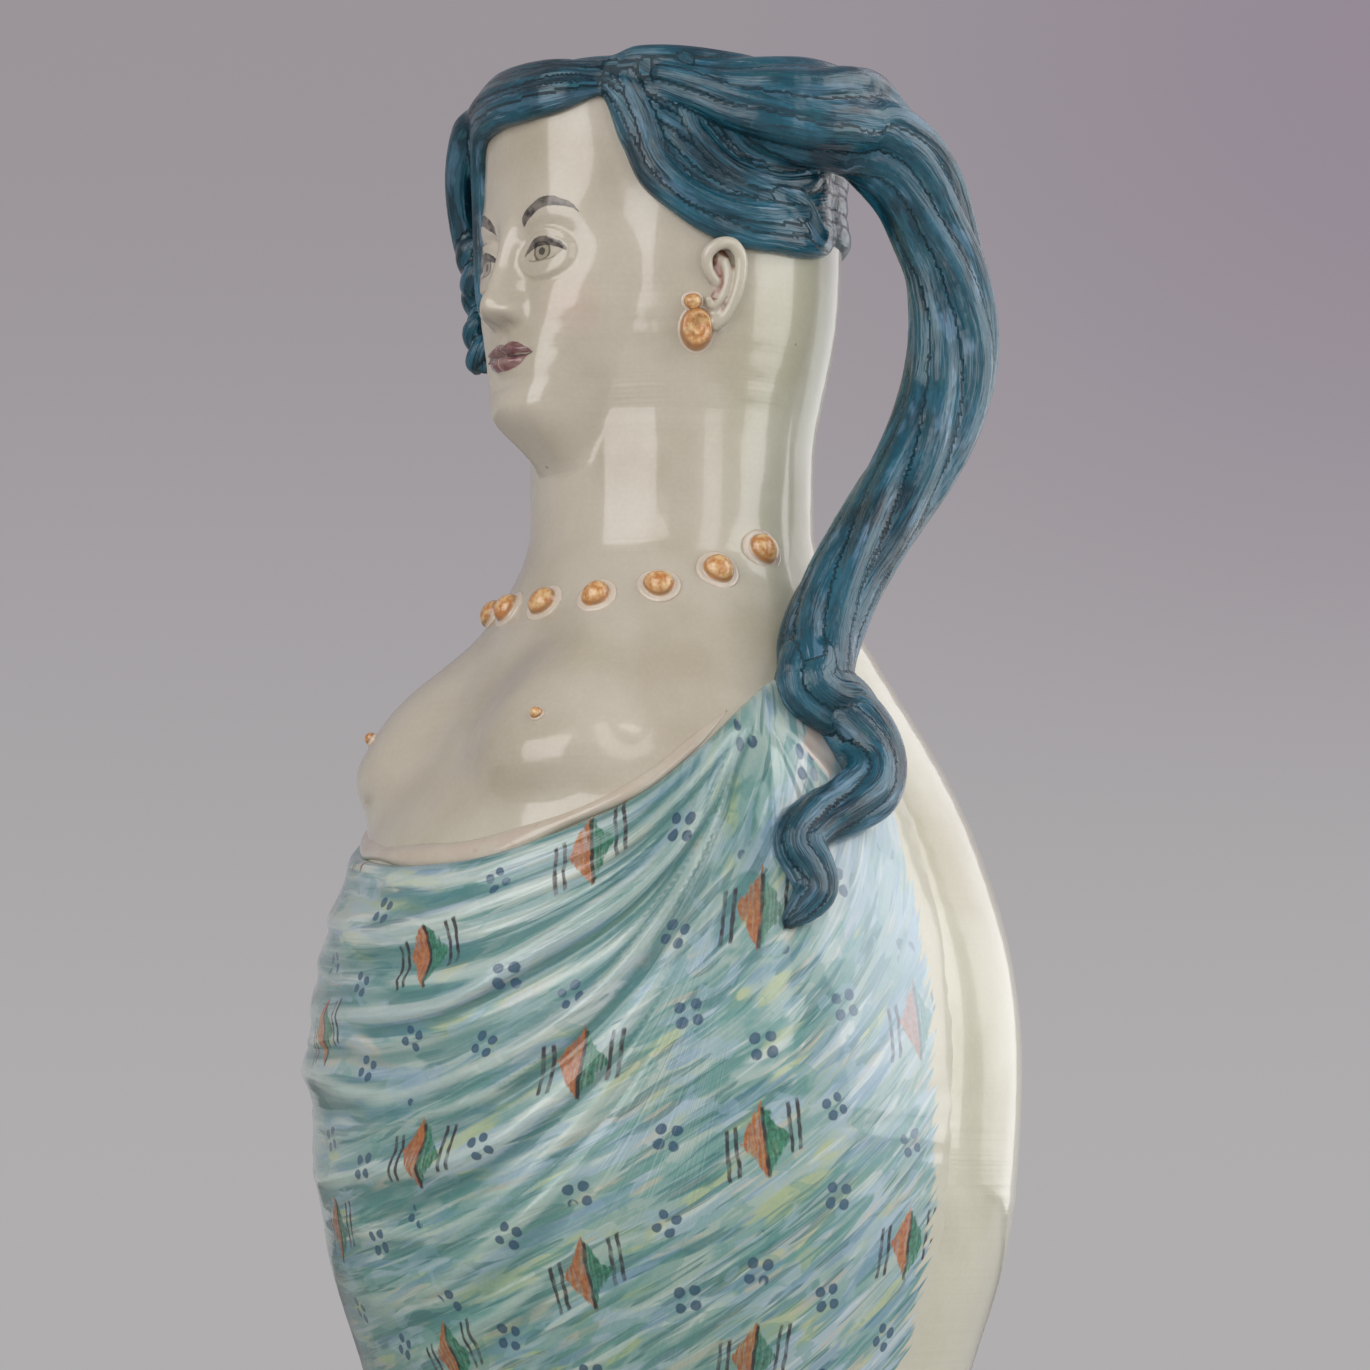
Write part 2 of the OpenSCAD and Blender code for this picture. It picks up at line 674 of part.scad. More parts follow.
// The rope is pressed over the hair rolls and the drape where it crosses them
wave_margin = 1;
function hair_relief(a, z) =
    let (
        from_top = wave_top_z + wave_margin - z,
        from_bottom = z - wave_top_z + wave_w + edge_soft)
    a > 60 && a < 180 ? ease(from_top / edge_soft) * ease(from_bottom / edge_soft) * wave_t : 0;
rope_skin = function (a, z)
    wall_r(z) + (z > neck_h ? hair_relief(a, z) : over_sheet(a, z));

module handle() {
    profile = [for (p = handle_shares)
        [p[0], neck_r + p[1] * handle_reach,
            neck_h + p[2] * (p[2] < 0 ? handle_drop : head_len), p[3]]];
    color(hair_blue) rope(route(profile, 4), rope_skin);
}

module handle_curl() {
    profile = [for (p = curl_shares)
        let (
            z = curl_top_z - p[1] * curl_len,
            r = p[2] * curl_d / 2)
        [p[0], rope_skin(p[0], z) + 0.62 * r + bed, z, r]];
    color(hair_light) rope(route(profile, 4), rope_skin, 12, 3, 0.08, 16);
}

// Bust
module bust(side) {
    color(cream) mound(side * bust_angle, bust_z, bust_w, bust_len, bust_t, wall_skin, 7, 32, 1.15);
}

module bust_left() {
    bust(1);
}

module bust_right() {
    bust(-1);
}

module pellet(side) {
    color(gold) knob(side * bust_angle, bust_z, bust_t + bed) rotate_extrude($fn = small_fn)
        polygon(concat([[0, 0]],
            [for (t = [0 : 15 : 90]) [pellet_d / 2 * cos(t), pellet_d / 2 * sin(t)]]));
}

module pellet_left() {
    pellet(1);
}

module pellet_right() {
    pellet(-1);
}

// Drape
module drape_sheet() {
    color(cloth) sheet(-drape_half_angle, drape_half_angle,
        function (a) hem_h,
        function (a) neckline_z(a),
        function (a, z) sheet_relief(a, z), 52, 30);
}

module neckline_coil() {
    profile = [for (a = [-100 : 5 : 64])
        [a, neckline_z(a) + coil_w / 2 + bed, coil_w, coil_t]];
    color(flesh) strip(profile, wall_skin, 4);
}

// A fold leaves the gather, drops away from the neckline and runs round the
// front: each row is its drop, as a share of the height of the neckline over
// the hem, and the far end's angle
fold_shares = [
    [0.075, -84], [0.16, -78], [0.25, -70], [0.35, -58], [0.47, -34], [0.61, -4]];
fold_span = neckline_base_z - hem_h;
fold_start_angle = gather_angle - 5;
fold_steps = 24;
fan_angle = 20;
fold_tip_share = 0.1;
fold_room_share = 0.8;

function fold_z(a, drop) = neckline_z(a) - drop * (1 - exp((a - gather_angle) / fan_angle));
// Room across a fold between its neighbours, where the folds fan out
function fold_room(a, drop, apart) =
    let (
        step = 1,
        fall = fold_z(a, drop) - fold_z(a - step, drop),
        run = step * PI / 180 * wall_r(fold_z(a, drop)))
    apart * (1 - exp((a - gather_angle) / fan_angle)) * run / norm([run, fall]);

module fold(i) {
    drop = fold_shares[i][0] * fold_span;
    apart = drop - (i > 0 ? fold_shares[i - 1][0] * fold_span : 0);
    end = fold_shares[i][1];
    profile = [for (k = [0 : fold_steps])
        let (
            t = k / fold_steps,
            a = fold_start_angle + (end - fold_start_angle) * t,
            tip = fold_tip_share + (1 - fold_tip_share) * sin(90 * min(1, 3 * (1 - t))),
            full = min(1, fold_room_share * fold_room(a, drop, apart) / fold_w))
        [a, fold_z(a, drop), fold_w * full * tip, fold_t * full * tip]];
    color(cloth_deep) strip(profile, sheet_skin, 4);
}

module drape_gather() {
    span_z = gather_w * 0.45;
    profile = [
        [gather_angle + 7, gather_z + span_z * 1.35, gather_w * 0.25, gather_t * 0.3],
        [gather_angle + 6, gather_z + span_z * 0.5, gather_w * 0.5, gather_t],
        [gather_angle + 5, gather_z - span_z * 0.4, gather_w * 0.5, gather_t * 0.9],
        [gather_angle + 4, gather_z - span_z * 1.3, gather_w * 0.25, gather_t * 0.3]];
    color(cloth_deep) strip(route(profile, 4), sheet_skin, 8, 3, 0.1);
}

// Necklace: a row of half-round beads, each on a ring of slip, from under one
// ear round the front to under the other, lowest at the throat
bead_end_angle = 90;

module bead(i) {
    t = bead_count > 1 ? (i - 1) / (bead_count - 1) : 0.5;
    a = bead_end_angle - 2 * bead_end_angle * t;
    z = bead_front_z + necklace_rise * (1 - cos(a)) ^ 1.5;
    tilt = atan((wall_r(z - bead_d / 2) - wall_r(z + bead_d / 2)) / bead_d);
    ring_r = bead_ring_d / 2;
    bead_r = bead_d / 2;
    color(gold) translate(at(a, wall_r(z) + bed, z)) rotate([0, 0, a]) rotate([90 - tilt, 0, 0])
        rotate_extrude($fn = small_fn) polygon(concat(
            [[0, 0], [ring_r - bead_ring_t / 2, 0], [ring_r, bead_ring_t / 2],
                [ring_r - bead_ring_t / 2, bead_ring_t]],
            [for (t = [15 : 15 : 90]) [bead_r * cos(t), bead_ring_t / 2 + bead_r * sin(t) * 0.8]]));
}

lower_body();
upper_body();
neck_and_head();
face();
nose();
upper_lip();
lower_lip();
eye_left();
eye_right();
ear_left();
ear_right();
earring_stud_left();
earring_stud_right();
earring_drop_left();
earring_drop_right();
hair_rim_left();
hair_rim_right();
hair_wave_left();
hair_wave_back();
hair_wave_right();
ringlet_upper();
ringlet_middle();
ringlet_lower();
handle();
handle_curl();
bust_left();
bust_right();
pellet_left();
pellet_right();
drape_sheet();
drape_gather();
neckline_coil();
for (i = [0 : len(FOLDS) - 1]) fold(i);
for (i = [0 : bead_count - 1]) bead(i + 1);
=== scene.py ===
import bpy
import math
import numpy as np
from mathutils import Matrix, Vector, kdtree


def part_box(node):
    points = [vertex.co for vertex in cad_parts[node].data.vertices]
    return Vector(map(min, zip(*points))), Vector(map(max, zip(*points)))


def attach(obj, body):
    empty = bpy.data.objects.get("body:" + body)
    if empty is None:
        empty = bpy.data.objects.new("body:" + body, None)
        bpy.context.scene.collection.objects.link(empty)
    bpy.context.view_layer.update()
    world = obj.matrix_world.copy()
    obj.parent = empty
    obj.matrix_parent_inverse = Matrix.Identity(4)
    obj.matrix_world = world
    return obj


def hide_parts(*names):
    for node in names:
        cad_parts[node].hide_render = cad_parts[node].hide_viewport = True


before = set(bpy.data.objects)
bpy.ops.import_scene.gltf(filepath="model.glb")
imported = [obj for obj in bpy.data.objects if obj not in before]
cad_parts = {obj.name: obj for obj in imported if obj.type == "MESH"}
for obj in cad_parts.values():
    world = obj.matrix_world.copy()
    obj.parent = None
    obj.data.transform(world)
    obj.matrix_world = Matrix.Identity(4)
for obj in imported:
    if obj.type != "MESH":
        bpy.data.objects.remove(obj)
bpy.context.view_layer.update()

bpy.ops.object.select_all(action="DESELECT")

# ---------------------------------------------------------------------------
# Camera. Stands level with the drape, off the figure's left, and looks a
# little upwards past the jug's middle, close enough to cut the foot off.
view_angle = math.radians(54)
stand_off, eye_height, aim_height, aim_side = 1.1, 0.162, 0.290, 0.00325
across = Vector((math.cos(view_angle), math.sin(view_angle), 0)) * aim_side
bpy.ops.object.camera_add(location=Vector((
    stand_off * math.sin(view_angle), -stand_off * math.cos(view_angle), eye_height)) + across)
camera = bpy.context.object
aim = Vector((0, 0, aim_height)) + across - camera.location
camera.rotation_euler = aim.to_track_quat("-Z", "Y").to_euler()
camera.data.sensor_width = 36
camera.data.lens = 116.41
camera.data.clip_start, camera.data.clip_end = 0.01, 50
bpy.context.scene.camera = camera
bpy.context.scene.view_settings.view_transform = "Standard"


# ---------------------------------------------------------------------------
# Room. A pale floor, a plain grey-lilac backdrop, and four soft boxes that
# draw the long upright highlights on the glaze.
def tone(code):
    """A colour from its hex code."""
    parts = [int(code[i:i + 2], 16) / 255 for i in (1, 3, 5)]
    return tuple(p / 12.92 if p <= 0.04045 else ((p + 0.055) / 1.055) ** 2.4 for p in parts) + (1,)


def put(tree, kind, inputs=None, **settings):
    """Places one shader node, with its settings, and feeds its inputs."""
    made = tree.nodes.new("ShaderNode" + kind)
    for name, value in settings.items():
        setattr(made, name, value)
    for key, value in (inputs or {}).items():
        if isinstance(value, Term):
            value = value.out
        if isinstance(value, bpy.types.NodeSocket):
            tree.links.new(value, made.inputs[key])
        else:
            made.inputs[key].default_value = value
    return made


class Term:
    """A number that changes over the surface, written as a formula of nodes."""

    def __init__(self, tree, out):
        self.tree, self.out = tree, out

    def math(self, operation, *others):
        made = put(self.tree, "Math", dict(enumerate((self,) + others)), operation=operation)
        return Term(self.tree, made.outputs[0])

    def __add__(self, other):
        return self.math("ADD", other)

    def __sub__(self, other):
        return self.math("SUBTRACT", other)

    def __rsub__(self, other):
        return self.math("MULTIPLY", -1.0).math("ADD", other)

    def __mul__(self, other):
        return self.math("MULTIPLY", other)

    def __truediv__(self, other):
        return self.math("DIVIDE", other)

    __radd__, __rmul__ = __add__, __mul__

    def span(self, low, high, to_low=0.0, to_high=1.0):
        """Runs smoothly from one value to another between two edges."""
        made = put(self.tree, "MapRange", {0: self, 1: low, 2: high, 3: to_low, 4: to_high},
                   interpolation_type="SMOOTHSTEP")
        return Term(self.tree, made.outputs[0])

    def size(self):
        return self.math("ABSOLUTE")


def blend(tree, share, first, second, way="MIX"):
    made = put(tree, "Mix", {0: share, 6: first, 7: second}, data_type="RGBA", blend_type=way)
    return made.outputs[2]


def coats(tree, colour, *layers):
    """Lays coats over a colour, each a share of cover and a shade."""
    for share, shade in layers:
        colour = blend(tree, share, colour, tone(shade))
    return colour


def grain(tree, where, scale, detail=2.0, rough=0.5, warp=0.0):
    made = put(tree, "TexNoise", {"Vector": where, "Scale": scale, "Detail": detail,
                                  "Roughness": rough, "Distortion": warp})
    return Term(tree, made.outputs["Fac"])


def new_material(name):
    made = bpy.data.materials.new(name)
    made.use_nodes = True
    tree = made.node_tree
    return made, tree, tree.nodes["Principled BSDF"]


bpy.ops.mesh.primitive_circle_add(vertices=96, radius=2.6, fill_type="NGON")
floor = bpy.context.object
floor.name = "floor"
floor_finish, tree, surface = new_material("floor_paper")
spots = put(tree, "TexCoord").outputs["Object"]
paper = grain(tree, spots, 3.0, 4.0)
tree.links.new(blend(tree, paper, tone("#b9b7b9"), tone("#c2c0c2")), surface.inputs["Base Color"])
surface.inputs["Roughness"].default_value = 0.9
floor.data.materials.append(floor_finish)

room = bpy.data.worlds.new("studio")
bpy.context.scene.world = room
room.use_nodes = True
tree = room.node_tree
tree.nodes.clear()
rays = put(tree, "LightPath")
facing = put(tree, "SeparateXYZ", {0: put(tree, "TexCoord").outputs["Generated"]})
rise = Term(tree, facing.outputs[2])
sidewards = (Term(tree, facing.outputs[0]) * math.cos(view_angle)
             + Term(tree, facing.outputs[1]) * math.sin(view_angle))
# painted shade: the backdrop is darker towards the top and a darker lilac in the upper right corner, where
# the studio light falls off
corner_shade = sidewards.span(-0.02, 0.17) * rise.span(0.06, 0.26)
wall_colour = coats(tree, tone("#b0aeaf"), (rise.span(-0.02, 0.26), "#9b959a"),
                    (corner_shade * 0.75, "#928594"))
seen = Term(tree, rays.outputs["Is Camera Ray"]) + Term(tree, rays.outputs["Is Transmission Ray"])
seen = (seen + Term(tree, rays.outputs["Is Glossy Ray"])).math("MINIMUM", 1.0)
fill_light = put(tree, "Background", {0: tone("#e8e6e6"), 1: 0.24})
backdrop = put(tree, "Background", {0: wall_colour, 1: 1.0})
mixed = put(tree, "MixShader", {0: seen, 1: fill_light.outputs[0], 2: backdrop.outputs[0]})
put(tree, "OutputWorld", {0: mixed.outputs[0]})


lamp_aim = Vector((0, 0, 0.26))


def soft_box(angle, distance, height, wide, tall, watts):
    """A soft box that stands off the jug at an angle from its face."""
    turn = math.radians(angle)
    place = Vector((distance * math.sin(turn), -distance * math.cos(turn), height))
    bpy.ops.object.light_add(type="AREA", location=place)
    lamp = bpy.context.object
    lamp.rotation_euler = (lamp_aim - place).to_track_quat("-Z", "Y").to_euler()
    lamp.data.shape = "RECTANGLE"
    lamp.data.size, lamp.data.size_y = wide, tall
    lamp.data.energy = watts


# angle from the face, distance, height, width, length and watts of each
for window in ((20, 1.3, 0.72, 1.2, 1.3, 11.2), (87, 1.35, 0.85, 0.33, 1.5, 2.4),
               (137, 1.35, 0.8, 1.4, 1.62, 16.0), (190, 1.45, 0.8, 1.0, 1.62, 4.6)):
    soft_box(*window)

# ---------------------------------------------------------------------------
# Thrown body. Earthenware thrown in three sections and joined, then the face
# and the bust are modelled on the wet wall. Tin glaze, the brows, eyes and
# lips painted on it with a fine brush; the foot is left bare.


def ease(t):
    t = np.clip(t, 0, 1)
    return t * t * (3 - 2 * t)


def bell(d, s):
    return np.exp(-(d / s) ** 2)


def curve(t, knots):
    """Smooth line through pairs of a place and a value."""
    k = np.array(knots, float)
    t = np.clip(t, k[0, 0], k[-1, 0])
    slope = np.gradient(k[:, 1], k[:, 0])
    i = np.clip(np.searchsorted(k[:, 0], t) - 1, 0, len(k) - 2)
    h = k[i + 1, 0] - k[i, 0]
    u = (t - k[i, 0]) / h
    return ((2 * u ** 3 - 3 * u ** 2 + 1) * k[i, 1] + (u ** 3 - 2 * u ** 2 + u) * h * slope[i]
            + (3 * u ** 2 - 2 * u ** 3) * k[i + 1, 1] + (u ** 3 - u ** 2) * h * slope[i + 1])


# the wall's radius at each height, as the solids have it, lightly evened out
probe_heights = np.arange(1.0, 436.0, 1.0)
probe_radii = np.zeros(len(probe_heights))
for section in ("lower_body", "upper_body", "neck_and_head"):
    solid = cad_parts[section]
    for i, h in enumerate(probe_heights):
        hit, spot, _, _ = solid.ray_cast(Vector((0.2, 0, h / 1000)), Vector((-1, 0, 0)))
        if hit and spot.x > 0:
            probe_radii[i] = max(probe_radii[i], spot.x * 1000)
missed = probe_radii == 0
probe_radii[missed] = np.interp(probe_heights[missed], probe_heights[~missed], probe_radii[~missed])
kernel = bell(np.arange(-9, 10), 4.0)
padded = np.concatenate([2 * probe_radii[0] - probe_radii[9:0:-1], probe_radii,
                         2 * probe_radii[-1] - probe_radii[-2:-11:-1]])
probe_radii = np.convolve(padded, kernel / kernel.sum(), "valid")


def wall(z):
    return np.interp(z, probe_heights, probe_radii)


def wobble(a, z, seed, across_mm, up_mm):
    """Slow unevenness left by the hand: a sum of a few waves."""
    draw = np.random.default_rng(seed)
    total = 0
    for _ in range(7):
        turns = round(360 / across_mm * draw.uniform(0.4, 1.3))
        total = total + np.sin(np.radians(a) * turns + draw.uniform(0, 6.3)
                               + z / up_mm * draw.uniform(0.4, 1.3) * draw.choice([-1, 1])
                               + draw.uniform(0, 6.3))
    return total / 7


face_front = 49.4       # how far the face stands from the jug's axis
eye_x, eye_z, mouth_z = 12.5, 391.8, 367.8


def lid_lines(x):
    """The upper and lower edges of an eye's opening."""
    t = np.clip(1 - ((x - eye_x) / 6.4) ** 2, 0, 1)
    tilt = (x - eye_x) * 0.07
    return eye_z + 2.7 * t ** 0.8 + tilt, eye_z - 1.9 * t ** 0.85 + tilt


def face_relief(a, z):
    """Forehead, brows, eyes, nose, mouth and chin, on plain thirds."""
    x = np.radians(a) * face_front
    s = np.abs(x)
    half = curve(z, [(334, 20), (346, 25), (356, 31), (368, 38), (384, 45), (400, 47), (430, 45)])
    side = ease((half - np.abs(a)) / (0.72 * half))
    fade = ease((z - 338) / 17) * ease((444 - z) / 14)
    form = side * fade * np.maximum(0, face_front - wall(z))
    # forehead, brows, sockets, bridge hollows, cheeks, temples, muzzle, chin:
    # how far each stands out, its place and width sideways, then up
    for out, place, wide, at, tall in (
            (0.5, 0, 16, 411, 9), (1.3, 13, 9, 402, 4.5), (-2.6, eye_x, 8.5, eye_z, 6.2),
            (-1.1, 6.2, 2.6, 394, 4), (1.5, 21, 11, 380, 10), (-0.7, 31, 6, 402, 8),
            (1.3, 0, 12, 367.5, 9), (1.9, 0, 8.5, 356, 5.2), (-1.1, 0, 7, 361, 2.0)):
        form = form + out * bell(s - place, wide) * bell(z - at, tall)
    # eyeballs under their lids
    ball = np.clip(1 - ((s - eye_x) / 8.6) ** 2 - ((z - eye_z) / 6.6) ** 2, 0, 1)
    over, under = lid_lines(s)
    inside = ease((over - z) / 0.5) * ease((z - under) / 0.5) * (np.abs(s - eye_x) < 6.4)
    form = form + 2.5 * ball ** 0.6 + 0.6 * (1 - inside) * ease(ball * 5)
    form = form - 0.55 * bell(z - over - 2.1, 0.7) * (np.abs(s - eye_x) < 7.2)
    # nose
    bridge = curve(z, [(373.4, 0), (375.2, 1.6), (376.6, 5.0), (378.4, 7.4), (380.4, 7.9), (384, 6.6),
                       (390, 4.5), (395, 3.0), (400, 1.6), (406, 0.4), (412, 0)])
    breadth = curve(z, [(374, 5.2), (378, 4.7), (382, 4.3), (388, 3.7), (395, 3.6), (402, 4.6), (412, 7)])
    form = form + bridge * np.exp(-(s / breadth) ** 2.3)
    form = form + 2.6 * bell(s - 5.2, 2.2) * bell(z - 378.4, 2.5)
    form = form - 0.8 * bell(s - 2.6, 1.3) * bell(z - 375.6, 0.9)
    # mouth
    top = mouth_z + 3.4 * np.clip(1 - (s / 9.6) ** 1.7, 0, 1) - 0.7 * bell(x, 1.7)
    low = mouth_z - 4.4 * np.clip(1 - (s / 8.2) ** 2, 0, 1)
    seam = mouth_z + 0.5 * bell(x, 2.6) - 0.6 * bell(s - 4.5, 3)
    form = form + 1.5 * ease((z - seam) / 1.2) * ease((top + 0.4 - z) / 1.4) * ease((9.8 - s) / 4)
    form = form + 1.9 * ease((seam - z) / 1.5) * ease((z - low + 0.4) / 2.4) * ease((8.6 - s) / 4)
    form = form - 1.0 * bell(z - seam, 0.55) * ease((10.2 - s) / 2.5)
    form = form - 0.45 * bell(x, 1.2) * bell(z - 372.6, 1.8)
    return form


bust_angle, bust_z, seam_z = 29, 275.2, 162


def bust_relief(a, z):
    """Two low rounded breasts, fuller below than above."""
    total = 0
    for side in (-1, 1):
        x = np.radians(a - side * bust_angle) * 66
        y = z - bust_z + 1.5
        q = np.sqrt((x / 23.5) ** 2 + (y / np.where(y > 0, 25, 19.5)) ** 2)
        total = total + 11.2 * np.exp(-(q * 1.2) ** 3.1)
    return total


def body_surface(a, z):
    """The finished outer wall, in millimetres from the axis."""
    r = wall(z) + 0.2 * wobble(a, z, 3, 70, 22)
    r = r + 0.03 * np.sin(z * 0.9 + 0.4 * np.sin(np.radians(a) * 2)) * ease((z - 4) / 10)
    r = r + 0.2 * bell(z - seam_z, 1.2) * ease((np.abs(a) - 95) / 10)
    return r + face_relief(a, z) + bust_relief(a, z) + 0.06 * wobble(a, z, 5, 12, 6)


def steps(*stretches):
    """Places along a line: each stretch is where it starts, ends and its step."""
    return np.concatenate([np.arange(lo, hi, step) for lo, hi, step in stretches])


def to_space(a, r, z):
    """A place in metres, from its angle, radius and height in millimetres."""
    t = np.radians(a)
    return np.stack([r * np.sin(t), -r * np.cos(t), z], -1) / 1000


def wrap_grid(name, points):
    """A plain grid bent to a field of points, closed where its edges meet."""
    rows, columns = points.shape[:2]
    bpy.ops.mesh.primitive_grid_add(x_subdivisions=columns - 1, y_subdivisions=rows - 1)
    piece = bpy.context.object
    piece.name = piece.data.name = name
    piece.data.vertices.foreach_set("co", points.reshape(-1).astype(np.float32))
    piece.data.update()
    return piece


def pick(piece):
    """Selects one piece alone."""
    bpy.ops.object.select_all(action="DESELECT")
    piece.select_set(True)
    bpy.context.view_layer.objects.active = piece


def finish_mesh(piece, merge=0.000001):
    """Doubles merged, normals outwards, smooth all over."""
    pick(piece)
    bpy.ops.object.mode_set(mode="EDIT")
    bpy.ops.mesh.select_all(action="SELECT")
    bpy.ops.mesh.remove_doubles(threshold=merge)
    bpy.ops.mesh.normals_make_consistent(inside=False)
    bpy.ops.object.mode_set(mode="OBJECT")
    if piece.data.uv_layers:
        piece.data.uv_layers.remove(piece.data.uv_layers[0])
    bpy.ops.object.shade_smooth()


columns = np.append(steps((-180, -54, 2.8), (-54, 54, 0.78), (54, 180, 2.8)), 180)
heights = steps((2, 224, 4.0), (224, 300, 1.1), (300, 340, 1.8), (340, 426, 0.62), (426, 435, 1.0))
wall_t, floor_t, lip_z, lip_r = 6.0, 8.0, 438.0, 3.0


def ring_row(r, z):
    return to_space(columns, r + 0 * columns, z + 0 * columns)


# the foot with its turned ring, the wall, the rolled lip, the inside
rows = [ring_row(r, z) for r, z in ((0, 0), (20, 0), (40, 0), (44, 0), (45, 1.2), (48.5, 1.2), (49.5, 0))]
rows += [ring_row(wall(2.0) - b, z) for b, z in ((2.0, 0.0), (0.6, 0.6))]
rows += [ring_row(body_surface(columns, h), h) for h in heights]
for t in np.radians(range(0, 181, 30)):
    rows.append(ring_row(wall(435) - lip_r + lip_r * math.cos(t), lip_z - lip_r + lip_r * math.sin(t)))
for h in np.append(np.arange(430, floor_t + 6, -8.0), [floor_t + 4, floor_t + 1]):
    rows.append(ring_row(wall(h) - wall_t + 0.25 * np.sin(h * 0.7), h))
rows += [ring_row(r, floor_t) for r in (46.0, 25.0, 0.0)]
body = wrap_grid("thrown_body", np.array(rows))
finish_mesh(body, merge=0.00001)

# Life in the glaze: cloudy depth, pinholes and a faint orange-peel skin.
glaze = bpy.data.node_groups.new("glaze_depth", "ShaderNodeTree")
for label, way, kind in (("Colour", "INPUT", "Color"), ("Clouds", "INPUT", "Float"),
                         ("Specks", "INPUT", "Float"), ("Colour", "OUTPUT", "Color"),
                         ("Roughness", "OUTPUT", "Float"), ("Height", "OUTPUT", "Float")):
    glaze.interface.new_socket(label, in_out=way, socket_type="NodeSocket" + kind)
given = glaze.nodes.new("NodeGroupInput")
result = glaze.nodes.new("NodeGroupOutput")
spots = put(glaze, "TexCoord").outputs["Object"]
cloud = grain(glaze, spots, 34, 3.0)
fine = grain(glaze, spots, 900, 2.0)
darker = blend(glaze, 1.0, given.outputs["Colour"], tone("#d9d2c2"), "MULTIPLY")
lively = blend(glaze, cloud.span(0.35, 0.75) * Term(glaze, given.outputs["Clouds"]),
               given.outputs["Colour"], darker)
cells = put(glaze, "TexVoronoi", {"Vector": spots, "Scale": 75.0})
chosen = Term(glaze, put(glaze, "SeparateColor", {0: cells.outputs["Color"]}).outputs[0])
pit = Term(glaze, cells.outputs["Distance"]).span(0.05, 0.025) * chosen.span(0.86, 0.88)
lively = blend(glaze, pit * Term(glaze, given.outputs["Specks"]), lively, tone("#6b5c4c"))
lively = blend(glaze, fine.span(0.3, 0.8) * 0.10, lively, tone("#ffffff"), "SOFT_LIGHT")
glaze.links.new(lively, result.inputs["Colour"])
glaze.links.new((cloud * 0.10 + 0.16 + pit * 0.3).out, result.inputs["Roughness"])
peel = grain(glaze, spots, 150, 2.0) * 0.7 + grain(glaze, spots, 45, 1.0) * 2.2 - pit * 1.5
glaze.links.new(peel.out, result.inputs["Height"])


def glaze_over(tree, surface, colour, clouds, specks, relief=None, depth=0.0001, coat=0.6):
    """Fires a clear, glossy glaze over a painted colour."""
    layer = tree.nodes.new("ShaderNodeGroup")
    layer.node_tree = glaze
    tree.links.new(colour, layer.inputs["Colour"])
    layer.inputs["Clouds"].default_value = clouds
    layer.inputs["Specks"].default_value = specks
    height = Term(tree, layer.outputs["Height"])
    if relief is not None:
        height = height + relief
    skin = put(tree, "Bump", {"Strength": 1.0, "Distance": depth, "Height": height})
    tree.links.new(layer.outputs["Colour"], surface.inputs["Base Color"])
    tree.links.new(layer.outputs["Roughness"], surface.inputs["Roughness"])
    tree.links.new(skin.outputs[0], surface.inputs["Normal"])
    surface.inputs["IOR"].default_value = 1.52
    surface.inputs["Coat Weight"].default_value = coat
    surface.inputs["Coat Roughness"].default_value = 0.05


def surface_places(tree):
    """Object coordinates, the angle from the face in degrees and the height in millimetres."""
    where = put(tree, "TexCoord").outputs["Object"]
    split = put(tree, "SeparateXYZ", {0: where})
    x, y, z = (Term(tree, split.outputs[i]) * 1000.0 for i in range(3))
    return where, x.math("ARCTAN2", y * -1.0) * (180 / math.pi), z


def brush_line(tree, x, y, knots):
    """How much of a painted stroke covers a point: each knot gives a place
    along x, the stroke's middle there and its half width."""
    low, high = knots[0][0], knots[-1][0]
    t = (x - low) / (high - low)

    def run(column):
        values = [knot[column] for knot in knots]
        lo, hi = min(values), max(values) + 1e-6
        made = put(tree, "FloatCurve", {1: t})
        line = made.mapping.curves[0]
        places = [((knot[0] - low) / (high - low), (v - lo) / (hi - lo)) for knot, v in zip(knots, values)]
        line.points[0].location, line.points[-1].location = places[0], places[-1]
        for place in places[1:-1]:
            line.points.new(*place)
        made.mapping.update()
        return Term(tree, made.outputs[0]) * (hi - lo) + lo

    away = (y - run(1)).size() - run(2)
    ends = t.span(-0.01, 0.03) * t.span(1.01, 0.97)
    return away.span(0.15, -0.15) * ends


tin_glaze, tree, surface = new_material("tin_glaze")
where, angle, height = surface_places(tree)
warm = angle.size().span(100, 58) * height.span(228, 262)
behind = angle.size().span(90, 104) * height.span(288, 305)
mottle = grain(tree, where, 18, 2.0).span(0.45, 0.75)
shake = grain(tree, where, 700, 1.0) - 0.5
x_face = angle * (math.pi / 180 * face_front) + shake * 0.5
y_face = height + shake * 0.4
half_x = x_face.size()
blush = (half_x - 20).size().span(11, 0) * (height - 378).size().span(11, 0)
in_front = angle.size().span(50, 46) * height.span(340, 345) * height.span(430, 424)
dx, dy = half_x - 12.2, y_face - 392.2
from_iris = (dx * dx + dy * dy).math("SQRT")
under_lid = brush_line(tree, half_x, y_face, [(6.2, 391.4, 0.0), (12.5, 392.2, 2.3), (19.0, 391.6, 0.0)])
iris = from_iris.span(2.75, 2.45) * under_lid
pupil = from_iris.span(1.15, 0.85) * under_lid
iris_ring = (from_iris - 2.4).size().span(0.45, 0.15) * under_lid
streaks = grain(tree, where, 420, 3.0).span(0.30, 0.72)
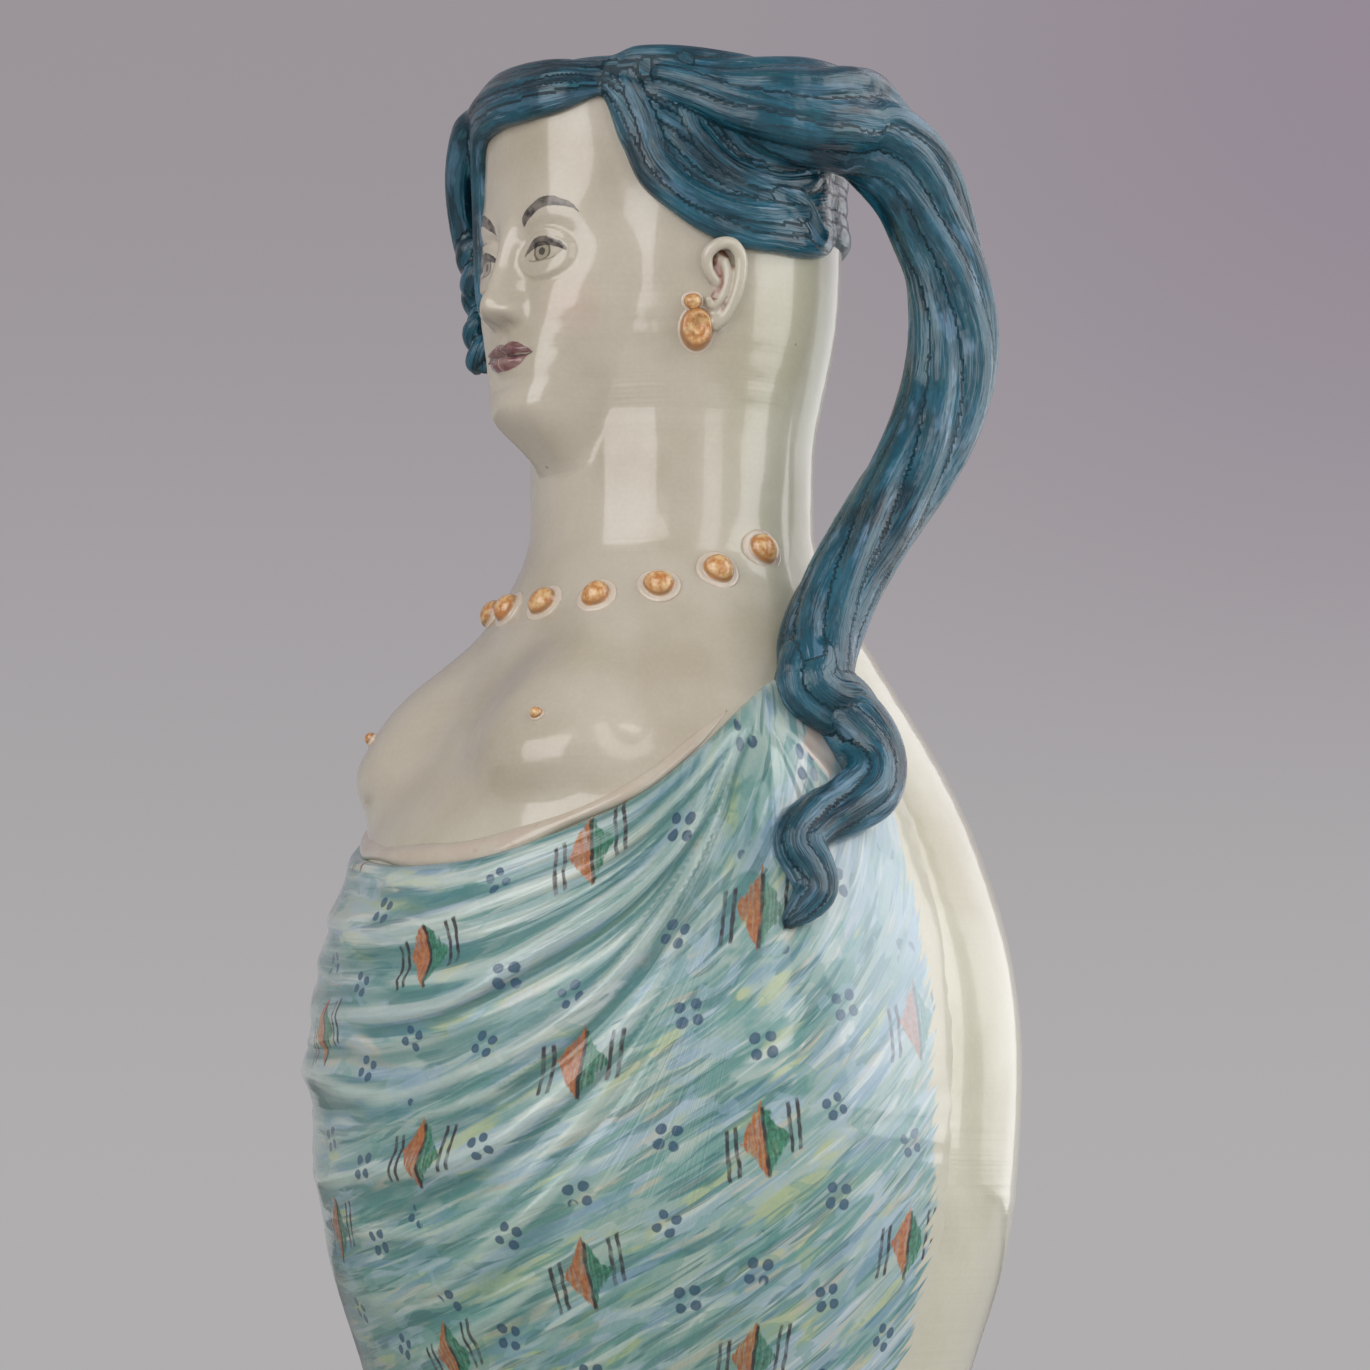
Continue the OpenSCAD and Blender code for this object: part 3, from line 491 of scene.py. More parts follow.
colour = coats(tree, tone("#d3d0bb"), (warm * 0.85, "#cabfaf"), (behind * 0.5, "#dad9c4"),
               (mottle * 0.10, "#c3bba6"), (blush * 0.22, "#cf9d8b"), (iris * in_front * 0.75, "#9a917c"),
               (iris_ring * in_front * 0.8, "#5d564b"), (pupil * in_front * 0.9, "#3d3833"))
# upper lip, lower lip, the line between, lower lashes, upper lashes, brows
for shade, strength, knots in (
        ("#6d1f38", 0.95, [(0, 369.2, 1.25), (3.2, 369.4, 1.6), (6.5, 368.7, 1.0), (9.5, 367.7, 0.1)]),
        ("#7c2a42", 0.9, [(0, 365.7, 1.9), (4, 365.9, 1.6), (8.2, 367.3, 0.15)]),
        ("#47202c", 0.9, [(0, 368.2, 0.30), (3, 367.5, 0.35), (6.5, 367.2, 0.30), (10, 367.9, 0.12)]),
        ("#6b5348", 0.6, [(8.0, 390.4, 0.10), (12.5, 389.8, 0.22), (17.0, 391.0, 0.10)]),
        ("#24161c", 1.0, [(6.2, 391.2, 0.25), (8.5, 393.7, 0.85), (12.5, 394.7, 1.15), (16.4, 393.8, 1.0),
                          (19.6, 391.9, 0.25)]),
        ("#24161d", 1.0, [(5.8, 399.9, 0.8), (9.5, 402.6, 1.5), (14.5, 404.3, 1.3), (18.5, 403.6, 0.9),
                          (22.3, 400.9, 0.25)])):
    stroke = brush_line(tree, half_x, y_face, knots)
    colour = blend(tree, stroke * in_front * (streaks * 0.35 + 0.65) * strength, colour, tone(shade))
colour = blend(tree, height.span(2.4, 1.6), colour, tone("#b99470"))     # the bare foot ring
rings = Term(tree, put(tree, "TexNoise", {"W": height * 0.55, "Scale": 1.0, "Detail": 2.0},
                       noise_dimensions="1D").outputs["Fac"]) * 0.45
glaze_over(tree, surface, colour, clouds=0.55, specks=0.8, relief=rings, depth=0.00012)
body.data.materials.append(tin_glaze)
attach(body, "root")
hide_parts("lower_body", "upper_body", "neck_and_head", "face", "nose", "upper_lip",
            "lower_lip", "eye_left", "eye_right", "bust_left", "bust_right")

# ---------------------------------------------------------------------------
# Drape. A rolled sheet of clay laid over the wall from shoulder to foot, its
# folds pinched up at the left shoulder and combed round the front, painted
# wet in long strokes with lozenges and dots between them.
neckline_base, neckline_rise = 243.95, 43
neckline_knots = [(-104, 1.00), (-80, 0.76), (-58, 0.44), (-36, 0.12), (-14, -0.01), (6, -0.07),
                  (22, -0.04), (34, 0.07), (50, 0.31), (59, 0.53), (70, 0.80), (79, 0.96),
                  (90, 0.99), (104, 0.90)]
gather_angle, hem_z, cloth_radius = 71, 20, 82
pinch_angle, pinch_z, pinch_radius = 73, 279, 76


def neckline(a):
    return neckline_base + neckline_rise * curve(a, neckline_knots)


def fan(a):
    """How far the folds have spread, from almost nothing at the gather."""
    return np.maximum(0.03, 1 - np.exp((a - gather_angle) / 20))


# far depth under the neckline, half width, height, angle where the fold dies
folds = [(3.5, 3.0, 1.5, -112), (15.5, 4.2, 2.8, -84), (22.0, 2.6, 1.3, -40), (29.0, 3.0, 1.7, -60),
         (36.5, 4.6, 3.2, -80), (45.0, 2.8, 1.4, -50), (55.5, 5.4, 3.4, -72), (64.0, 3.0, 1.2, -46),
         (77.5, 6.0, 2.8, -60), (90.0, 3.4, 1.2, -30), (104, 6.4, 2.2, -36), (121, 4.0, 1.1, -16),
         (137, 6.5, 1.6, -6), (166, 6.0, 1.0, 6)]


def drape_relief(a, z):
    """Thickness of the cloth over the wall, with its folds."""
    edge = ease((109 - np.abs(a)) / 42)
    sheet = 0.3 + 1.9 * edge * (0.4 + 0.6 * ease((z - hem_z) / 90))
    raised = 0
    far = np.maximum(0, neckline(a) - z) / fan(a)
    for i, (place, half, rise, end) in enumerate(folds):
        here = place + 1.6 * np.sin(a / 17 + i * 2.1) + 0.8 * np.sin(a / 6.5 + i * 1.3)
        d = (far - here) / half
        crest = np.exp(-np.abs(np.where(d < 0, d * 0.8, d * 1.35)) ** 1.55)
        near_gather = 69 - 26 * ease((place - 50) / 70)
        along = ease((a - end) / 30) * ease((near_gather - a) / 16)
        along = along * (0.85 + 0.25 * np.sin(a / 13 + i * 1.7))
        raised = raised + rise * (0.75 + 0.5 * ease((a + 25) / 50)) * along * crest
    furrow = bell(np.sin(far / 4.6 + np.sin(a / 19)), 0.32) * ease((far - 5) / 6) * ease((130 - far) / 60)
    raised = raised - 0.5 * furrow * ease((64 - a) / 20) * ease(a / 30 + 2)
    # pinched gather on the shoulder, its pleats running down from it
    x = np.radians(a - pinch_angle) * pinch_radius
    y = z - pinch_z
    spread = np.degrees(np.arctan2(x, -y + 0.01))
    from_gather = np.hypot(x, y)
    pleat = np.cos(spread / 7.5 + 0.6) ** 3
    raised = raised + 1.5 * pleat * bell(from_gather - 22, 20) * ease((y + 3) / -8) * ease((a - 52) / 12)
    raised = raised + 1.9 * bell(a - 75, 7) * bell(z - 264, 15)
    raised = raised + 0.2 * np.cos(spread / 3.4) * bell(from_gather - 60, 34) * ease((a - 60) / 12)
    return sheet + raised * edge + 0.12 * wobble(a, z, 11, 14, 5)


fold_columns = np.append(steps((-107.75, -44, 1.25), (-44, 108, 0.8)), 108)
share = np.concatenate([[0, 0, 0.001, 0.0045], np.linspace(0.009, 1, 236), [1.0]])
top = neckline(fold_columns)
hem = hem_z + 1.2 * np.sin(fold_columns / 7) + 0.8 * np.sin(fold_columns / 3.1)
edge_sink = 0.6 * ease((np.abs(fold_columns) - 97) / 11)
rows = []
for i, t in enumerate(share):
    z = top + (hem - top) * t
    rise = drape_relief(fold_columns, z)
    # the cut edges turn in: the first row and the last lie under the wall
    lifted = {0: -0.8 + 0 * rise, 1: 0.35 * rise, 2: 0.8 * rise}.get(i, rise)
    if i == len(share) - 1:
        lifted, z = -0.8 + 0 * rise, z - 0.3
    rows.append((fold_columns, body_surface(fold_columns, z) + lifted - edge_sink * (lifted > 0), z))
for t in np.linspace(1, 0, 26):
    z = top + (hem - top) * t - 0.3
    rows.append((fold_columns, wall(z) - 1.6 + 0 * z, z))
rows.append(rows[0])
drape = wrap_grid("drape", np.array([to_space(*row) for row in rows]))


# strokes lie nearly level in front, climb at the side and stand upright
# below the shoulder: the run of their slope round the jug and up it
angle_steps = np.arange(-116, 117, 1.0)
slope = curve(angle_steps, [(-116, -0.35), (-70, -0.38), (-45, -0.25), (-18, 0.05), (25, 0.42),
                            (55, 0.62), (85, 0.95), (116, 1.35)])
slope_run = np.cumsum(slope) * cloth_radius * math.pi / 180
height_steps = np.arange(0, 320, 2.0)
height_run = np.cumsum(curve(height_steps, [(0, 1), (170, 1), (215, 0.75), (250, 0.36), (320, 0.3)])) * 2


def points_of(piece):
    """A piece's points, in millimetres."""
    co = np.empty(len(piece.data.vertices) * 3, np.float32)
    piece.data.vertices.foreach_get("co", co)
    return co.reshape(-1, 3).astype(float) * 1000


def note_points(piece, name, values):
    """Writes a number, or a triple, on each point of a piece."""
    kind, key = ("FLOAT", "value") if values.ndim == 1 else ("FLOAT_VECTOR", "vector")
    layer = piece.data.attributes.new(name, kind, "POINT")
    layer.data.foreach_set(key, values.reshape(-1).astype(np.float32))


def note_cloth(piece):
    """Notes on each point where it lies along the strokes and on the cloth."""
    x, y, z = points_of(piece).T
    a = np.degrees(np.arctan2(x, -y))
    depth = np.maximum(0, neckline(a) - z)
    far = depth / np.maximum(fan(a), 0.05)
    sag = 0.7 * (neckline(a) - neckline_base) * np.exp(-depth / 60)
    climb = np.interp(z, height_steps, height_run) - np.interp(a, angle_steps, slope_run)
    around = np.radians(a) * cloth_radius
    # how far down in a fold's hollow each point lies, for the painted shade in the hollows and the painted
    # highlight on the crests
    above, below = drape_relief(a, z + 3.2), drape_relief(a, z - 3.2)
    note_points(piece, "valley", (above + below) / 2 - drape_relief(a, z))
    for name, u, v in (("flow", np.radians(gather_angle - a) * cloth_radius, 60 * np.log1p(far / 60)),
                       ("side", around + 0.9 * z, climb),
                       ("cloth", np.radians(a) * 80, z - sag - neckline_base)):
        note_points(piece, name, np.stack([u, v, 0 * a], -1))


finish_mesh(drape, merge=0.00001)
# close the two ends of the wrapped sheet
bpy.ops.object.mode_set(mode="EDIT")
bpy.ops.mesh.select_all(action="DESELECT")
bpy.ops.mesh.select_non_manifold()
bpy.ops.mesh.edge_face_add()
bpy.ops.mesh.select_all(action="SELECT")
bpy.ops.mesh.normals_make_consistent(inside=False)
bpy.ops.object.mode_set(mode="OBJECT")
note_cloth(drape)

cloth_glaze, tree, surface = new_material("cloth_glaze")
where, angle, height = surface_places(tree)


def noted(tree, name, axis=None):
    """A number noted on the points, or one axis of a noted triple."""
    made = put(tree, "Attribute", attribute_name=name)
    if axis is None:
        return Term(tree, made.outputs["Fac"])
    return Term(tree, put(tree, "SeparateXYZ", {0: made.outputs["Vector"]}).outputs[axis])


def drawn_out(tree, x, y, seed, detail, rough=0.5, warp=0.0):
    """A grain drawn out along the brush, from places along and across it."""
    place = put(tree, "CombineXYZ", {0: x, 1: y, 2: seed})
    return grain(tree, place.outputs[0], 1.0, detail, rough, warp)


def painted_cloth(name):
    """Wet strokes laid over each other, the long pale ones last."""
    u, v = noted(tree, name, 0), noted(tree, name, 1)
    drift = grain(tree, where, 20, 2.0) * 1.6

    def stroke(length, breadth, seed, low, high):
        dry = drawn_out(tree, u / (length * 1.5), v * 1.5 + drift, seed, 2.0).span(0.28, 0.55) * 0.6 + 0.4
        load = drawn_out(tree, u / length + seed, v / breadth + drift, seed * 3.7, 1.5, 0.5, 0.4)
        return load.span(low, high) * dry

    colour = blend(tree, stroke(46, 10.0, 0.3, 0.38, 0.62), tone("#b7c8c0"), tone("#93b4b0"))
    for length, breadth, seed, low, high, shade, strength in (
            (40, 8.5, 1.7, 0.50, 0.58, "#7fa8a6", 0.80), (34, 6.5, 2.9, 0.55, 0.60, "#b4c8d8", 0.75),
            (30, 6.5, 4.1, 0.58, 0.64, "#c0cb98", 0.75), (30, 5.6, 5.3, 0.55, 0.60, "#5d9490", 0.75),
            (34, 4.6, 6.5, 0.60, 0.66, "#d6c8b4", 0.55), (32, 5.0, 7.7, 0.57, 0.62, "#7a9ebb", 0.65),
            (44, 4.6, 8.9, 0.59, 0.66, "#dde6e2", 0.70), (26, 2.8, 10.1, 0.57, 0.62, "#3f787c", 0.65),
            (30, 1.6, 11.3, 0.62, 0.70, "#e6ecec", 0.4)):
        colour = blend(tree, stroke(length, breadth, seed, low, high) * strength, colour, tone(shade))
    pool = drawn_out(tree, u / 15.0, v / 6.5 + drift * 0.5, 5.5, 2.0, 0.5, 0.8)
    return coats(tree, colour, (pool.span(0.57, 0.60) * 0.4, "#6aa19b"),
                 (pool.span(0.40, 0.37) * 0.35, "#a9c3d8"))


across, below = noted(tree, "cloth", 0), noted(tree, "cloth", 1)
low_down = below.span(-12, -80) * 56.0 + below.span(-60, -105) * 150.0 + grain(tree, where, 45, 2.0) * 18.0
towards_side = (angle + low_down).span(54, 74)
colour = blend(tree, towards_side, painted_cloth("flow"), painted_cloth("side"))
# painted shade between the folds and painted highlight on their crests, partly also the glaze pooling dark in
# the hollows and thinning to pale on the crests
valley = noted(tree, "valley")
uneven = grain(tree, where, 90, 2.0) * 0.5 + 0.65
colour = coats(tree, colour, (valley.span(0.06, 0.75) * uneven * 0.75, "#47807f"),
               (valley.span(-0.08, -0.7) * uneven * 0.55, "#d9e4dc"))
# lozenges, half orange and half green, with dark strokes beside them
lozenge_wide, lozenge_tall, lozenge_step = 38.0, 47.0, 25.0
shake = grain(tree, where, 260, 2.0) - 0.5
p, q = across + shake * 1.1, below + shake * 1.1
column = (p / lozenge_wide).math("FLOOR")
shifted = q + column * lozenge_step + (column * 1.7).math("SINE") * 4
row = (shifted / lozenge_tall).math("FLOOR")
lx = p - column * lozenge_wide - lozenge_wide / 2
ly = shifted - row * lozenge_tall - lozenge_tall / 2
lean = (column * 2.3 + row * 3.7).math("SINE") * 0.16
mx, my = lx + ly * lean, ly - lx * lean
inside_lozenge = mx.size() / 5.2 + my.size() / 7.8
load = drawn_out(tree, mx * 1.6, my / 7.0, column * 3.1 + row, 2.0).span(0.25, 0.6)
full = (inside_lozenge + shake * 0.5 - load * 0.1).span(1.02, 0.88)
speckle = grain(tree, where, 900, 3.0).span(0.2, 0.8)
orange = blend(tree, speckle, tone("#a8521f"), tone("#c97f45"))
green = blend(tree, speckle, tone("#0f5a3e"), tone("#3d8f70"))
halves = blend(tree, (mx + shake * 1.6).span(-0.3, 0.5), orange, green)
colour = blend(tree, full * (load * 0.45 + 0.5), colour, halves)
midrib = (mx - 0.3).size().span(0.62, 0.25) * (my + 0.6).size().span(8.0, 7.2)
flank = ((mx.size() - 7.0).size() - 1.05).size().span(0.62, 0.28) * (my - mx * 0.3).size().span(5.8, 5.1)
line = midrib.math("MAXIMUM", flank) * (grain(tree, where, 330, 1.0).span(0.25, 0.6) * 0.5 + 0.45)
colour = coats(tree, colour, (line * 0.95, "#2b1a22"))
# dots in fours, kept off the lozenges
dot_wide, dot_tall, dot_step = 19.0, 21.0, 9.0
dot_column = (p / dot_wide + 0.5).math("FLOOR")
dot_shift = q + dot_column * dot_step
dot_row = (dot_shift / dot_tall).math("FLOOR")
draw = put(tree, "TexWhiteNoise", {0: put(tree, "CombineXYZ", {0: dot_column, 1: dot_row}).outputs[0]},
           noise_dimensions="2D")
stray = put(tree, "SeparateColor", {0: draw.outputs["Color"]})
ex = p - dot_column * dot_wide - (Term(tree, stray.outputs[0]) * 7.0 - 3.5)
ey = dot_shift - dot_row * dot_tall - dot_tall / 2 - (Term(tree, stray.outputs[1]) * 7.0 - 3.5)
turned = Term(tree, stray.outputs[2]) * 1.2 - 0.6
gx, gy = ex + ey * turned, ey - ex * turned
gx, gy = gx.size() - 1.7, gy.size() - 1.7
from_dot = (gx * gx + gy * gy).math("SQRT")
dots = (from_dot + shake * 0.5).span(1.42, 1.0) * inside_lozenge.span(2.1, 2.3)
dot_core = blend(tree, from_dot.span(0.5, 1.4), tone("#2a5574"), tone("#1f4163"))
colour = blend(tree, dots * 0.85, colour, dot_core)
# bare clay colour in the bend of the curl, and cream where the strokes end
bend_angle, bend_z = 84.5, 268.0
bend_spot = ((angle - bend_angle) / 4.6).size() + ((height - bend_z) / 7.5).size()
ragged = drawn_out(tree, noted(tree, "side", 0) / 30.0, noted(tree, "side", 1) / 2.4, 0.0, 2.0)
fray = (ragged - 0.5) * 13.0 + (height - 200) * 0.018
left_edge = (angle + fray).span(98.4, 99.6)
right_edge = (angle * -1.0 + fray).span(100.0, 101.2)
hem_edge = (height - fray * 0.5).span(25, 23)
cream = left_edge.math("MAXIMUM", right_edge).math("MAXIMUM", hem_edge)
thin = (angle.size() + fray * 0.8).span(72, 98) * height.span(150, 215) * 0.55
colour = coats(tree, colour, (bend_spot.span(1.05, 0.95) * 0.9, "#d3b7a2"), (thin, "#c0d3e0"))
# painted shade: the cloth is darkened grey-blue round the gather, where the folds crowd together
shade_round_gather = (angle - 64.0).size().span(34, 8) * below.span(-52, -6) * angle.span(78, 66)
colour = blend(tree, shade_round_gather * 0.5, colour, tone("#a3c4c0"), "MULTIPLY")
colour = blend(tree, height.span(225, 120) * angle.span(88, 60) * 0.55, colour, tone("#c4dccb"), "MULTIPLY")
colour = coats(tree, colour, (cream, "#d0cdba"))
ribs = drawn_out(tree, noted(tree, "flow", 0) / 40.0, noted(tree, "flow", 1) * 0.8, 0.0, 2.0)
comb = ribs * angle.span(70, 55) * 2.6
glaze_over(tree, surface, colour, clouds=0.2, specks=0.3, relief=comb, depth=0.00014)
drape.data.materials.append(cloth_glaze)
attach(drape, "root")
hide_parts("drape_sheet", "drape_gather", *[f"drape_fold_{i}" for i in range(1, 7)])

# ---------------------------------------------------------------------------
# Neckline coil. A thin roll of clay thumbed down along the drape's top edge
# and left in a flesh-coloured slip.


def sweep(sections):
    """Vertices and faces of a closed bar through its rings of points."""
    count, around = sections.shape[:2]
    verts = sections.reshape(-1, 3)
    faces = []
    for i in range(count - 1):
        for k in range(around):
            a, b = i * around + k, i * around + (k + 1) % around
            faces.append((a, b, b + around, a + around))
    faces.append(tuple(range(around))[::-1])
    faces.append(tuple(range((count - 1) * around, count * around)))
    return verts, faces


def mesh_piece(name, verts, faces):
    data = bpy.data.meshes.new(name)
    data.from_pydata([tuple(v) for v in verts], [], faces)
    piece = bpy.data.objects.new(name, data)
    bpy.context.scene.collection.objects.link(piece)
    return piece


right_end, left_end = -101, 67
stations = np.arange(right_end, left_end, 1.1)
middle = neckline(stations) + 2.3
half_w = 2.7 + 0.5 * np.sin(stations / 9) + 0.3 * np.sin(stations / 3.7 + 1)
half_w = half_w * ease((stations - right_end) / 8 + 0.15) * ease((left_end - stations) / 12 + 0.12)
thick = 1.45 + 0.3 * np.sin(stations / 6.3 + 2)
thick = thick * ease((stations - right_end + 1) / 8) * ease((left_end + 1 - stations) / 20 + 0.1)
sections = []
for s in np.linspace(-1, 1, 13):
    z = middle + s * half_w
    lift = thick * (1 - np.abs(s) ** 2.2) - 0.5 * (abs(s) > 0.99)
    sections.append(to_space(stations, body_surface(stations, z) + lift, z))
for s in (0.6, -0.6):
    z = middle + s * half_w
    sections.append(to_space(stations, body_surface(stations, z) - 1.2, z))
coil = mesh_piece("neckline_roll", *sweep(np.array(sections).transpose(1, 0, 2)))
finish_mesh(coil)
flesh_slip, tree, surface = new_material("flesh_slip")
where, angle, height = surface_places(tree)
colour = coats(tree, tone("#cfbfae"), (grain(tree, where, 120, 3.0).span(0.3, 0.7), "#d3c8b8"),
               (grain(tree, where, 300, 2.0).span(0.62, 0.8) * 0.5, "#b98d74"))
glaze_over(tree, surface, colour, clouds=0.4, specks=0.4)
coil.data.materials.append(flesh_slip)
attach(coil, "root")
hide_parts("neckline_coil")

# ---------------------------------------------------------------------------
# Necklace. Half-round beads of clay, each pressed on a ring of thick slip,
# in a speckled amber glaze that leaves the slip pale.
amber_glaze, tree, surface = new_material("amber_glaze")
where, angle, height = surface_places(tree)
tint = grain(tree, where, 520, 4.0, 0.65)
edge = noted(tree, "rim")
colour = coats(tree, tone("#c68142"), (tint.span(0.35, 0.62), "#e9c088"),
               (grain(tree, where, 260, 2.0).span(0.52, 0.75) * 0.6, "#ecd29c"),
               ((edge - 0.52).size().span(0.14, 0.02) * tint.span(0.3, 0.6) * 0.75, "#8a4f2c"),
               (edge.span(0.50, 0.70), "#dccdbb"))
glaze_over(tree, surface, colour, clouds=0.3, specks=0.3)


def round_knob(name, place, out, radius, tall, slip, seed, squash=1.0):
    """A half-round pellet on a ring of slip, standing on the wall."""
    bpy.ops.object.select_all(action="DESELECT")
    bpy.ops.mesh.primitive_uv_sphere_add(segments=40, ring_count=28, radius=1)
    piece = bpy.context.object
    piece.name = piece.data.name = name
    x, y, z = points_of(piece).T / 1000
    draw = np.random.default_rng(seed)
    polar = np.degrees(np.arccos(np.clip(z, -1, 1)))
    turn = np.arctan2(y, x)
    t = np.clip(polar / 100, 0, 1)
    # the dome takes this share of the way from its top to the ring's edge
    brim, slip_height = 0.62, 0.5
    dome = np.clip(t / brim, 0, 1) * np.pi / 2
    q = np.where(t < brim, np.sin(dome) * radius, radius + (t - brim) / (1 - brim) * slip)
    up = np.where(t < brim, np.cos(dome) * tall + slip_height,
                  slip_height * np.sqrt(np.clip(1 - ((t - 0.72) / 0.28) ** 2, 0, 1)))
    q = q * (1 + 0.035 * np.sin(turn * 2 + draw.uniform(0, 6)) + 0.03 * np.sin(turn * 3 + draw.uniform(0, 6)))
    under = polar > 100
    q = np.where(under, (radius + slip) * np.clip((180 - polar) / 80, 0, 1), q)
    up = np.where(under, -0.9, up)
    side = np.cross([0, 0, 1.0], out)
    side = side / np.linalg.norm(side)
    high = np.cross(out, side)
    spots = (place + (q * np.cos(turn))[:, None] * side
             + (q * np.sin(turn) * squash)[:, None] * high + up[:, None] * out) / 1000
    piece.data.vertices.foreach_set("co", spots.reshape(-1).astype(np.float32))
    note_points(piece, "rim", np.where(under, 1.0, t))
    finish_mesh(piece)
    piece.data.materials.append(amber_glaze)
    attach(piece, "root")
    return piece


def wall_spot(a, z):
    """A place on the finished wall and the direction that faces out of it."""
    here, right, above = (to_space(turn, body_surface(turn, up), up) * 1000
                          for turn, up in np.array([(a, z), (a + 2, z), (a, z + 2)], float))
    out = np.cross(right - here, above - here)
    return here, out / np.linalg.norm(out)


bead_radius, bead_height, slip_width = 3.75, 3.3, 1.7
for i in range(1, 11):
    low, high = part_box(f"bead_{i}")
    centre = (np.array(low) + np.array(high)) / 2 * 1000
    bead_angle = math.degrees(math.atan2(centre[0], -centre[1]))
    place, out = wall_spot(bead_angle, centre[2])
    draw = np.random.default_rng(40 + i)
    bead = round_knob(f"necklace_bead_{i}", place, out, radius=bead_radius + draw.uniform(-0.15, 0.2),
                      tall=bead_height, slip=slip_width, seed=60 + i, squash=draw.uniform(0.92, 1.05))
    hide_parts(f"bead_{i}")

# Two pellets on the bust, plain and smaller, in the same amber glaze.
for name, side in (("left", 1), ("right", -1)):
    place, out = wall_spot(side * bust_angle, bust_z)
    pellet = round_knob(f"bust_pellet_{name}", place, out, radius=1.55, tall=1.7, slip=0.35, seed=80 + side)
    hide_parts(f"pellet_{name}")

# ---------------------------------------------------------------------------
# Ears. A rolled rim, an inner fold and a lobe are pinched on the side of the
# head and smoothed together; red-brown is brushed into the hollows.


def track(points, step):
    """A smooth line through points, walked in even steps."""
    points = np.array(points, float)
    gaps = np.linalg.norm(np.diff(points[:, :3], axis=0), axis=1)
    at = np.concatenate([[0], np.cumsum(gaps)])
    walk = np.linspace(0, at[-1], max(3, int(at[-1] / step) + 1))
    return np.stack([curve(walk, np.stack([at, points[:, i]], -1)) for i in range(points.shape[1])], -1)


def directions(line, outward=None):
    """Unit directions along a line, beside it and away from the jug."""
    ahead = np.gradient(line, axis=0)
    ahead /= np.linalg.norm(ahead, axis=1)[:, None] + 1e-9
    side = np.cross(ahead, line * [1, 1, 0] if outward is None else outward)
    side /= np.linalg.norm(side, axis=1)[:, None] + 1e-9
    return ahead, side, np.cross(side, ahead)


def rope_mesh(line, radii, sides=10):
    """A round bar along a line, closed at both ends by shrinking rings."""
    ahead, side, up = directions(line)
    around = np.arange(sides) * 2 * np.pi / sides
    ring = np.cos(around)[None, :, None] * side[:, None] + np.sin(around)[None, :, None] * up[:, None]
    first, last = ([line[i] + sign * ahead[i] * radii[i] * 0.7 + ring[i] * radii[i] * 0.6]
                   for i, sign in ((0, -1), (-1, 1)))
    return sweep(np.concatenate([first, line[:, None] + ring * radii[:, None, None], last]))


def fuse(name, bars, voxel, passes):
    """Bars of clay pressed into one lump and smoothed with a wet thumb."""
    verts, faces = [], []
    for bar_verts, bar_faces in bars:
        start = len(verts)
        verts += list(bar_verts / 1000)
        faces += [tuple(start + i for i in face) for face in bar_faces]
    piece = mesh_piece(name, verts, faces)
    pick(piece)
    lump = piece.modifiers.new("lump", "REMESH")
    lump.mode, lump.voxel_size, lump.use_smooth_shade = "VOXEL", voxel / 1000, True
    bpy.ops.object.modifier_apply(modifier=lump.name)
    thumb = piece.modifiers.new("thumb", "SMOOTH")
    thumb.factor, thumb.iterations = 0.5, passes
    bpy.ops.object.modifier_apply(modifier=thumb.name)
    return piece


def away_from(points, lines):
    """Distance of each point from the nearest of some lines."""
    tree = kdtree.KDTree(sum(len(line) for line in lines))
    for i, spot in enumerate(np.concatenate(lines)):
        tree.insert(spot, i)
    tree.balance()
    return np.array([tree.find(p)[2] for p in points])


def on_head(points, lift=0):
    """Angle, height and lift of each point turned into a place."""
    a, z, *rise = np.array(points, float).T
    return to_space(a, body_surface(a, z) + sum(rise) + lift, z) * 1000


ear_glaze = tin_glaze.copy()
ear_glaze.name = "ear_glaze"
tree = ear_glaze.node_tree
brushed = noted(tree, "brushed")
layer = next(n for n in tree.nodes if n.type == "GROUP")
under = layer.inputs["Colour"].links[0].from_socket
patchy = grain(tree, put(tree, "TexCoord").outputs["Object"], 500, 2.0).span(0.25, 0.6) * 0.5 + 0.5
tree.links.new(blend(tree, brushed * patchy, under, tone("#8d5a48")), layer.inputs["Colour"])

